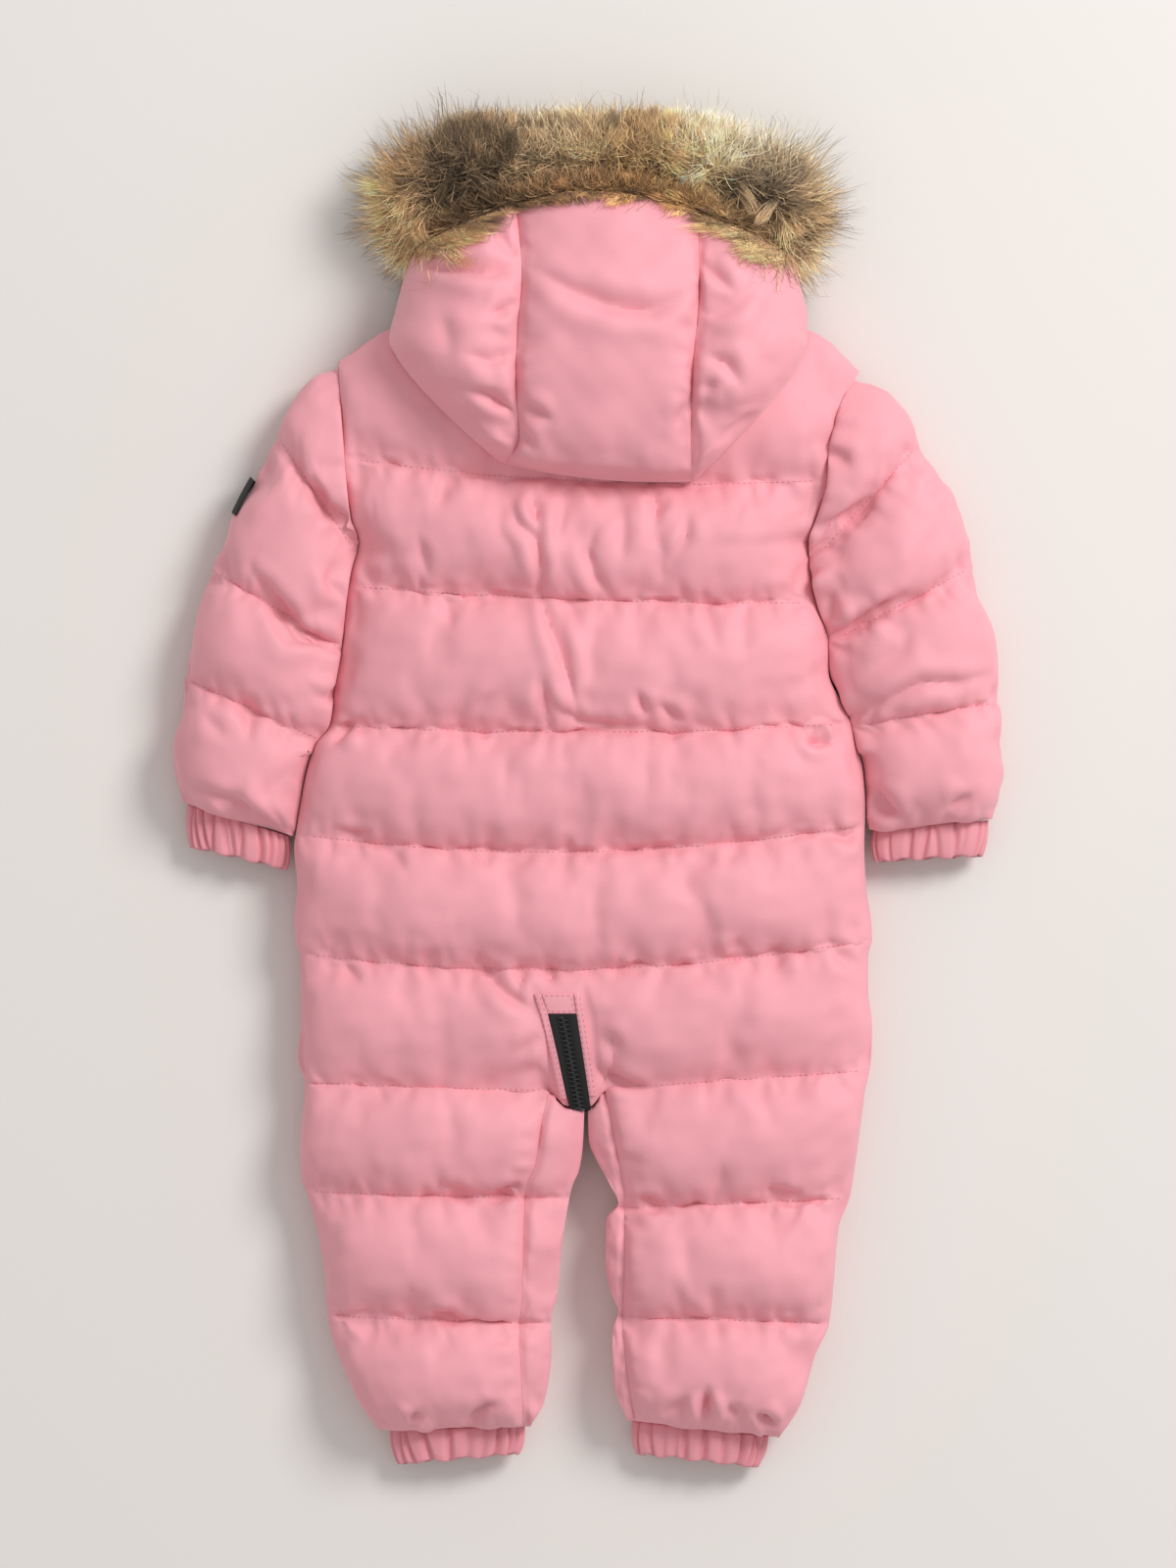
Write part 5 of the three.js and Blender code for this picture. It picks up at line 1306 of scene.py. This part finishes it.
def fur_colour_at(x, y):
    """The colour of the fur at a place, mixed from the coloured areas round it."""
    weight = np.full(x.shape, 0.55)
    colour = np.ones(x.shape + (3,)) * np.array(FUR_BASE) * 0.55
    for (cx, cy), radius, rgb in FUR_PATCHES:
        w = 2.2 * np.exp(-(((x - cx) ** 2 + (y - cy) ** 2) / radius**2))
        weight = weight + w
        colour = colour + w[..., None] * np.array(rgb)
    return colour / weight[..., None]


def fur(hood_height):
    """The trim: a solid skin under five meshes of hairs."""
    path = np.array(FUR_PATH, float)
    knots = np.linspace(0, 1, len(path))
    across = [curve(list(zip(knots, path[:, c]))) for c in range(5)]

    def section(t):
        x, y, z, half, high = (a(t) for a in across)
        step = 1e-3
        dx, dy = across[0](t + step) - across[0](t - step), across[1](t + step) - across[1](t - step)
        length = np.hypot(dx, dy)
        return x, y, z, half, high, -dy / length, dx / length

    stations, around = 90, 28
    t = np.linspace(0.004, 0.996, stations)
    phi = np.linspace(0, 2 * math.pi, around + 1)[:-1]
    pelt_points = np.stack(pelt_at(section, t[:, None], phi[None])[0], axis=2)
    faces = tube_faces(numbered(pelt_points))
    pelt = make_object("fur_pelt", pelt_points.reshape(-1, 3), faces, fur_look, sharp=None)
    # The skin is painted at 0.6 of the fur's colour: painted shade under the hairs, over the fur's own
    # darker base.
    paint(pelt, fur_colour_at(pelt_points[..., 0], pelt_points[..., 1]).reshape(-1, 3) * 0.6)
    dress(pelt, None)
    pieces = [pelt]
    rng = np.random.default_rng(77)
    pieces.append(edge_hairs("fur_hair_edge", hood_height, FUR_HAIRS, rng))
    for part, (start, end) in enumerate(((0.0, 0.36), (0.36, 0.5), (0.5, 0.64), (0.64, 1.0))):
        pieces.append(fur_hairs(f"fur_hair_{part}", section, start, end, FUR_HAIRS, rng))
    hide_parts("fur_trim")
    return pieces


def pelt_at(section, t, phi):
    """The skin under the hairs at share t of the path and angle phi round it, with its two half sizes."""
    x, y, z, half, high, nx, ny = section(t)
    taper = np.sqrt(np.clip(np.minimum(t, 1 - t) * 14 + 0.1, 0, 1))
    a, b = half * 0.5 * taper, high * 0.72 * taper
    place = (x + nx * a * np.cos(phi), y + ny * a * np.cos(phi), np.maximum(0.4, z * 0.9 + b * np.sin(phi)))
    return place, a, b, (nx, ny), half, high


def paint(obj, srgb):
    """Stores one colour for each point of a mesh."""
    rgb = np.clip(srgb, 0, 1)
    rgb = np.where(rgb <= 0.04045, rgb / 12.92, ((rgb + 0.055) / 1.055) ** 2.4)
    layer = obj.data.color_attributes.new("hair_colour", "FLOAT_COLOR", "POINT")
    layer.data.foreach_set("color", np.column_stack([rgb, np.ones(len(rgb))]).astype(np.float32).ravel())


def fur_hairs(name, section, start, end, count, rng):
    """Ribbons that lean outwards over the skin, drawn together in curling locks."""
    locks = count // 100
    low_phi, high_phi = -0.75, math.pi + 0.5
    lock_t, lock_phi = rng.uniform(start, end, locks), rng.uniform(low_phi, high_phi + 0.05, locks)
    pick = rng.integers(0, locks, count)
    loose = rng.uniform(0, 1, count) < 0.25
    t = np.where(loose, rng.uniform(start, end, count), lock_t[pick] + rng.normal(0, 0.0046, count))
    t = np.clip(t, 0.002, 0.998)
    own_phi = rng.uniform(low_phi, high_phi, count)
    phi = np.where(loose, own_phi, lock_phi[pick] + rng.normal(0, 0.13, count))
    place, a, b, (nx, ny), half, high = pelt_at(section, t, phi)
    root = np.stack(place, axis=1)
    normal = np.stack([nx * np.cos(phi) / a, ny * np.cos(phi) / a, np.sin(phi) / b], axis=1)
    normal /= np.linalg.norm(normal, axis=1, keepdims=True)
    outward, sideways = np.stack([nx, ny, 0 * nx], axis=1), np.stack([-ny, nx, 0 * nx], axis=1)
    over_hood = (rng.uniform(0, 1, locks) < 0.5)[pick] * smooth(1.9, 2.7, phi)
    top = smooth(0.5, 1.3, lock_phi[pick])
    direction = lerp(1.0, 0.5 + 0.7 * rng.uniform(-1, 1, locks)[pick], top)
    direction = np.where(over_hood > 0.4, -0.55, direction)
    lean = rng.normal(0, 0.75, locks)[pick] * lerp(0.6, 1.2, top) + rng.normal(0, 0.10, count)
    lift = rng.uniform(0.25, 0.9, locks)[pick]
    heading = outward * direction[:, None] + normal * lift[:, None] + sideways * lean[:, None]
    reach = (half * 0.5 + high * 0.34) * 0.5 + lerp(5.5, 9.5, smooth(55, 110, np.abs(root[:, 0] - 10)))
    length = reach * rng.uniform(0.7, 1.2, locks)[pick] * np.where(over_hood > 0.4, 0.75, 1.0)
    return hair_mesh(name, root, heading, normal, length, pick, loose, rng)


def edge_hairs(name, hood_height, count, rng):
    """Hairs along the hood's face edge, some of which fall back over the hood."""
    seams = [(*HOOD_ROWS[s]["seam"][0], HOOD_SEAM_Z[0]) for s in ("left", "right")]
    rims = [(*HOOD_ROWS[s]["rim"][0], HOOD_RIM_Z[0]) for s in ("left", "right")]
    knots = [rims[0], (-84, 340, 46), seams[0], (10, 361, 68), seams[1], (98, 337, 46), rims[1]]
    shares = (0, 0.13, 0.28, 0.51, 0.74, 0.88, 1)
    edge = [curve([(share, knot[c]) for share, knot in zip(shares, knots)]) for c in range(3)]
    locks = count // 55
    lock_t, pick = rng.uniform(0, 1, locks), rng.integers(0, locks, count)
    loose = rng.uniform(0, 1, count) < 0.3
    t = np.clip(np.where(loose, rng.uniform(0, 1, count), lock_t[pick] + rng.normal(0, 0.012, count)), 0, 1)
    ahead = np.stack([e(np.clip(t + 0.01, 0, 1)) - e(np.clip(t - 0.01, 0, 1)) for e in edge], axis=1)
    ahead /= np.linalg.norm(ahead, axis=1, keepdims=True)
    outward, up = np.stack([-ahead[:, 1], ahead[:, 0], 0 * t], axis=1), np.array([0.0, 0, 1])
    out = rng.uniform(1, 6, count)
    root = np.stack([e(t) for e in edge], axis=1) + outward * out[:, None]
    root[:, 2] -= 3 + 0.9 * out
    ends = 1 - smooth(0.02, 0.33, t) * smooth(0.02, 0.33, 1 - t)
    back = rng.uniform(0, 1, locks)[pick] < lerp(0.12, 0.6, ends)
    direction = np.where(back, -rng.uniform(0.25, 0.8, locks)[pick], rng.uniform(0.2, 1.0, locks)[pick])
    lean = rng.normal(0, 0.6, locks)[pick] + ends * np.sign(t - 0.5) * 0.5
    lift = rng.uniform(0.5, 1.1, locks)[pick]
    heading = outward * direction[:, None] + up * lift[:, None] + ahead * lean[:, None]
    length = rng.uniform(9, 21, locks)[pick] * np.where(back, lerp(0.55, 1.2, ends), 1.0)
    return hair_mesh(name, root, heading, up + 0.3 * outward, length, pick, loose, rng, hood_height)


def hair_lines(root, heading, normal, length, pick, loose, rng, floor):
    """The points along curling hairs in locks, their headings, and which of them are guard hairs."""
    count, locks = len(root), pick.max() + 1
    heading = heading + rng.normal(0, 0.12, (count, 3))
    heading /= np.linalg.norm(heading, axis=1, keepdims=True)
    length = length * rng.uniform(0.8, 1.15, count)
    at_ends = smooth(70, 118, np.abs(root[:, 0] - 10))
    guard = rng.uniform(0, 1, count) < FUR_GUARD_SHARE * (0.25 + 2 * at_ends)
    length = np.where(guard, length * 1.4, length)
    tips = root + heading * length[:, None]
    lock_tip = np.zeros((locks, 3))
    np.add.at(lock_tip, pick, tips)
    lock_tip /= np.maximum(np.bincount(pick, minlength=locks), 1)[:, None]
    gather = (rng.uniform(0.45, 0.9, count) * ~loose * ~guard)[:, None]
    sag = -rng.uniform(0.1, 0.5, locks)[pick]
    curl_axis = np.cross(heading, normal)
    curl = rng.normal(0, 0.85, locks)[pick][:, None] * curl_axis
    curl += rng.normal(0, 0.16, (count, 1)) * curl_axis
    spine = []
    for k in range(FUR_SEGMENTS + 1):
        s = k / FUR_SEGMENTS
        p = root + heading * (length * s)[:, None]
        p = p + (lock_tip[pick] - tips) * (gather * s**1.5)
        p = p + curl * (length * math.sin(2.6 * s) * s * 0.8)[:, None]
        p[:, 2] += sag * length * s * s
        p[:, 2] = np.maximum(p[:, 2], 0.4 + 0.5 * s)
        if floor and k > 1:
            p[:, 2] = np.maximum(p[:, 2], [floor(px, py) + 0.7 + 3.5 * s for px, py in p[:, :2]])
        spine.append(p)
    return np.stack(spine, axis=1), heading, guard


def hair_mesh(name, root, heading, normal, length, pick, loose, rng, floor=None):
    """One mesh of tapering ribbons along the lines of the hairs."""
    count, locks = len(root), pick.max() + 1
    spine, heading, guard = hair_lines(root, heading, normal, length, pick, loose, rng, floor)
    side = np.cross(spine[:, -1] - spine[:, 0], rng.normal(0, 0.7, (count, 3)) + np.array([0, 0, 1.0]))
    side /= np.maximum(np.linalg.norm(side, axis=1, keepdims=True), 1e-9)
    width = rng.uniform(0.15, 0.30, count)
    base = fur_colour_at(root[:, 0] + heading[:, 0] * 9, root[:, 1] + heading[:, 1] * 9)
    if floor:
        base = base * FUR_EDGE_TONE
    base = base * rng.uniform(0.62, 1.3, locks)[pick][:, None] * rng.uniform(0.88, 1.12, count)[:, None]
    dark_tip = np.clip(rng.uniform(-0.5, 0.6, locks)[pick] + rng.uniform(-0.2, 0.2, count), 0, 1)
    dark_tip = np.where(guard, 1.0, dark_tip)
    points, shade = [], []
    for k in range(FUR_SEGMENTS + 1):
        s = k / FUR_SEGMENTS
        # Each hair is painted darker at its root and lighter at its tip: the fur's own darker undercoat and
        # lighter tips, together with painted shade deep in the fur.
        tone = base * (0.66 + 0.75 * min(1, s * 1.5))
        tone = lerp(tone, np.array(FUR_TIP), (smooth(0.45, 1.0, s) * dark_tip)[:, None] * 0.85)
        w = (width * (1 - s) ** 0.55 + 0.02)[:, None]
        if k < FUR_SEGMENTS:
            points += [spine[:, k] - side * w, spine[:, k] + side * w]
            shade += [tone, tone]
        else:
            points.append(spine[:, k])
            shade.append(tone)
    per = len(points)
    first = (np.arange(count) * per)[:, None]
    quads = [first + np.array([[2 * k, 2 * k + 1, 2 * k + 3, 2 * k + 2]]) for k in range(FUR_SEGMENTS - 1)]
    last = 2 * (FUR_SEGMENTS - 1)
    faces = np.concatenate(quads).tolist() + (first + np.array([[last, last + 1, last + 2]])).tolist()
    obj = make_object(name, np.stack(points, axis=1).reshape(-1, 3), faces, fur_look, sharp=None)
    paint(obj, np.stack(shade, axis=1).reshape(-1, 3))
    return dress(obj, None)


# Sewing

def stitch_run(places, height):
    """Short raised stitches along a line of (x, y) places, lying on the surface under them."""
    pts = np.array(places, float)
    lengths = np.hypot(*np.diff(pts, axis=0).T)
    along = np.concatenate([[0], np.cumsum(lengths)])
    points, faces = [], []
    for d in np.arange(STITCH_PITCH / 2, along[-1], STITCH_PITCH):
        ends = []
        for offset in (-STITCH_LENGTH / 2, 0, STITCH_LENGTH / 2):
            q = np.clip(d + offset, 0, along[-1])
            x, y = np.interp(q, along, pts[:, 0]), np.interp(q, along, pts[:, 1])
            ends.append(Vector((x, y, height(x, y) + (0.35 if offset == 0 else 0.02))))
        axis = (ends[2] - ends[0]).normalized()
        side = axis.cross(Vector((0, 0, 1))).normalized() * (STITCH_WIDTH / 2)
        up = side.cross(axis).normalized() * (STITCH_WIDTH / 2)
        base = len(points)
        for e, size in zip(ends, (0.4, 1.0, 0.4)):
            points += [e - side * size, e + up * size, e + side * size, e - up * size]
        faces += rod_faces(base, len(ends), 4)
    return points, faces


def stitching(name, runs, height):
    """One mesh of the stitches of all the runs."""
    points, faces = [], []
    for run in runs:
        p, f = stitch_run(run, height)
        faces += [[i + len(points) for i in face] for face in f]
        points += p
    obj = make_object(name, [list(p) for p in points], faces, thread_material, sharp=None)
    return dress(obj, None)


def quilt_runs():
    """The stitched lines across the back and the legs."""
    runs = []
    for k in range(1, 6):
        shares = np.linspace(0.03, 0.97, 120)
        x = lerp(left_edge(QUILT_LINES[k]["left"]), right_edge(QUILT_LINES[k]["right"]), shares)
        runs.append(list(zip(x, line_y(k, shares))))
    for side, lines in LEG_LINES.items():
        for line in lines[:3]:
            shares = np.linspace(0.04, 0.97, 50)
            x = lerp(outer_edge[side](line["outer"]), inseam[side](line["inner"]), shares)
            runs.append(list(zip(x, lerp(line["outer"], line["inner"], shares))))
    return runs


def sleeve_runs():
    """The stitched lines across the sleeves."""
    lines = [row for side in ("left", "right") for row in SLEEVE_ROWS[side][1:4]]
    return [[between(row["a"], row["b"], t) for t in np.linspace(0.05, 0.95, 30)] for row in lines]


# Zip

def strip_on(name, rows, height, node):
    """A thin strip that lies on the surface under its rows of (x, y) places."""
    grid = np.array([[(x, y, height(x, y) + STRIP_LIFT) for x, y in row] for row in rows])
    n = normals(grid)
    n *= np.sign(n[..., 2:3])
    high = grid + n * STRIP_THICKNESS
    crown = np.sin(np.linspace(0, math.pi, grid.shape[1]))[None, :, None]
    high = high + n * crown * 0.35
    points, faces = walled(high, grid, grid_faces(numbered(grid)))
    return dress(make_object(name, points, faces, shell_material), node)


def zip_parts(height):
    """The tape from the back round the crotch and up the front, its teeth, and the strips round it."""
    stations = []
    for y in np.arange(-139.0, -193.6, -1.6):
        x, half = float(zip_x(y)), float(zip_half(y))
        z = max(height(x - half, y), height(x, y), height(x + half, y))
        stations.append((x, y, z + 0.5, half))
    lip = stations[-1][2]
    stations += [
        (-5.6, -195.4, lip - 0.3, 6.5), (-5.6, -196.4, lip - 1.2, 6.5), (-5.4, -197.3, lip - 3, 6.5),
        (-4.6, -197.7, 20, 6.6), (-3, -197.7, 8, 6.8), (-2.4, -196.6, 3.2, 6.9), (-1.8, -194, 1.6, 7),
    ]
    stations += [(ZIP_X, y, 1.4, ZIP_WIDTH / 2) for y in (-188, 40, 255)]
    st = np.array(stations)
    centre = st[:, :3]
    along = np.gradient(centre, axis=0)
    along /= np.linalg.norm(along, axis=1, keepdims=True)
    up = np.cross(np.array([[1.0, 0, 0]]), along)
    up /= np.linalg.norm(up, axis=1, keepdims=True)
    if up[0, 2] < 0:
        up = -up
    shares = np.array([-1, -0.8, -0.32, -0.28, 0, 0.28, 0.32, 0.8, 1])
    raise_by = np.array([0, 0.15, 0.15, 0.0, 0.0, 0.0, 0.15, 0.15, 0])
    sideways = (shares * st[:, 3:])[..., None] * np.array([1.0, 0, 0])
    high = centre[:, None] + sideways + up[:, None] * (raise_by + TAPE_THICKNESS / 2)[None, :, None]
    points, faces = walled(high, high - up[:, None] * TAPE_THICKNESS, grid_faces(numbered(high)))
    dress(make_object("zip_tape_cloth", points, faces, tape_material), "zip_tape")
    zip_teeth(centre, up, along)
    return zip_surround(height)


def zip_teeth(centre, up, along):
    """Moulded blocks in two rows that mesh on the centre line of the tape."""
    run = np.concatenate([[0], np.cumsum(np.linalg.norm(np.diff(centre, axis=0), axis=1))])
    points, faces = [], []
    profile = [(-0.9, 0.62), (0.5, 0.82), (1.3, 0.62), (3.1, 0.48)]
    section = ((-1, 0.1), (-1, 1.0), (-0.55, 1.45), (0.55, 1.45), (1, 1.0), (1, 0.1))
    for i, d in enumerate(np.arange(2.0, run[-1] - 2, TEETH_PITCH / 2)):
        c = np.array([np.interp(d, run, centre[:, k]) for k in range(3)])
        n = np.array([np.interp(d, run, up[:, k]) for k in range(3)])
        a = np.array([np.interp(d, run, along[:, k]) for k in range(3)])
        n /= np.linalg.norm(n)
        a /= np.linalg.norm(a)
        hand = 1 if i % 2 else -1
        across = np.array([hand, 0, 0])
        base = len(points)
        for reach, wide in profile:
            for sa, sn in section:
                points.append(c + across * reach + a * sa * wide + n * (TAPE_THICKNESS / 2 + sn * 0.95))
        tooth = rod_faces(base, len(profile), len(section))
        faces += tooth if hand > 0 else flipped(tooth)
    teeth = make_object("zip_teeth", np.array(points), faces, teeth_material, sharp=35)
    dress(teeth, None)


def zip_surround(height):
    """The facings and the end tab round the zip, and the runs of stitches on them."""
    runs = []
    for side in ("left", "right"):
        sign = -1 if side == "left" else 1
        end = FACING_ENDS[side]
        rows = []
        for y in np.linspace(-126.8, end, 34):
            edge = float(zip_x(y)) + sign * (float(zip_half(y)) + 0.3)
            row = [(edge + sign * FACING_WIDTH * t, y) for t in np.linspace(0, 1, 5)]
            rows.append(row[::-1] if sign < 0 else row)
        strip_on(f"zip_facing_{side}_cloth", rows, height, f"zip_facing_{side}")
        for offset in (0.9, FACING_WIDTH - 0.6):
            ys = np.linspace(-127.6, end + 1, 30)
            runs.append([(float(zip_x(y)) + sign * (float(zip_half(y)) + 0.3 + offset), y) for y in ys])
    rows = []
    for y in np.linspace(-126.4, -138.2, 9):
        half = float(zip_half(y))
        rows.append([(float(zip_x(y)) + half * t, y) for t in np.linspace(-0.98, 0.98, 9)])
    strip_on("zip_end_tab_cloth", rows, height, "zip_end_tab")
    return runs + [TAB_SEAM]


def sleeve_patch(sheet):
    """The plain woven patch round the outer edge of the left sleeve, from the sleeve before it swells."""
    grid = refine(sheet.get("plain", sheet["points"])[sheet["index"]], wrap=True)
    level = halfway(sheet["levels"])
    rows = np.where((level > PATCH_LEVELS[0]) & (level < PATCH_LEVELS[1]))[0]
    base = grid[np.ix_(rows, [c % grid.shape[1] for c in PATCH_COLUMNS])]
    n = normals(base)
    outside = np.array([-1.0, 0.3, 0])
    if (n.mean(axis=(0, 1)) * outside).sum() < 0:
        n = -n
    low, high = base + n * PATCH_UNDER, base + n * PATCH_TOP
    low[..., 2] = np.maximum(low[..., 2], 2.5)
    high[..., 2] = np.maximum(high[..., 2], 2.0)
    points, faces = walled(high, low, grid_faces(numbered(base)))
    return dress(make_object("sleeve_patch_cloth", points, faces, patch_material), "sleeve_patch")


# Assembly

sheets = {"back": back_sheet()}
for which in ("left", "right"):
    sheets["inner_leg_" + which] = inner_leg_sheet(which)
    sheets["sleeve_" + which] = sleeve_sheet(which)
for which in ("left", "centre", "right"):
    sheets["hood_" + which] = hood_sheet(which)
settle(sheets)

back = back_panel(sheets["back"])
sleeves = []
for which in ("left", "right"):
    inner_leg(which, sheets["inner_leg_" + which])
    front_panel(which)
    sleeves.append(sleeve(which, sheets["sleeve_" + which]))
for cuff_name in CUFFS:
    cuff(cuff_name)
on_body = tree_of(back, *sleeves)
hood = [hood_panel(which, sheets["hood_" + which], on_body) for which in ("left", "centre", "right")]
fur(tree_of(*hood))
on_back = tree_of(back)
zip_runs = zip_parts(on_back)
sleeve_patch(sheets["sleeve_left"])
stitching("quilt_stitching", quilt_runs(), on_back)
stitching("sleeve_stitching", sleeve_runs(), tree_of(*sleeves))
zip_strips = ("zip_facing_left_cloth", "zip_facing_right_cloth", "zip_end_tab_cloth")
stitching("zip_stitching", zip_runs, tree_of(back, *[bpy.data.objects[strip] for strip in zip_strips]))


# Surface, light and camera

def backdrop():
    material, _, _, shader = new_material("pale_floor")
    set_inputs(shader, {"Base Color": linear((0.90, 0.885, 0.87)), "Roughness": 0.9})
    mesh = bpy.data.meshes.new("floor")
    corners = [(-1, -1), (1, -1), (1, 1), (-1, 1)]
    half, below = 4.0, -0.0003
    mesh.from_pydata([(half * x, half * y, below) for x, y in corners], [], [[0, 1, 2, 3]])
    mesh.materials.append(material)
    collection_link(bpy.data.objects.new("floor", mesh))


def area_light(name, place, target, size, power, colour):
    light = bpy.data.lights.new(name, "AREA")
    light.shape = "DISK"
    light.size = size
    light.energy = power
    light.color = colour
    obj = collection_link(bpy.data.objects.new(name, light))
    obj.location = place
    obj.rotation_euler = (Vector(target) - Vector(place)).to_track_quat("-Z", "Y").to_euler()


def studio():
    world = bpy.data.worlds.new("studio")
    bpy.context.scene.world = world
    world.use_nodes = True
    set_inputs(world.node_tree.nodes["Background"], {"Color": (1.0, 0.985, 0.97, 1), "Strength": 0.59})
    area_light("key", (2.2, 1.9, 2.6), (0, 0, 0), 1.6, 101, (1.0, 0.985, 0.975))


def camera():
    distance, shown_height, reference_z = 7.0, 0.96, 0.028
    data = bpy.data.cameras.new("camera")
    data.sensor_width = 36
    data.lens = 36 * distance / shown_height
    data.clip_end = 30
    obj = collection_link(bpy.data.objects.new("camera", data))
    obj.location = (-0.0006, 0.0015, reference_z + distance)
    bpy.context.scene.camera = obj


backdrop()
studio()
camera()
bpy.context.scene.view_settings.view_transform = "Standard"
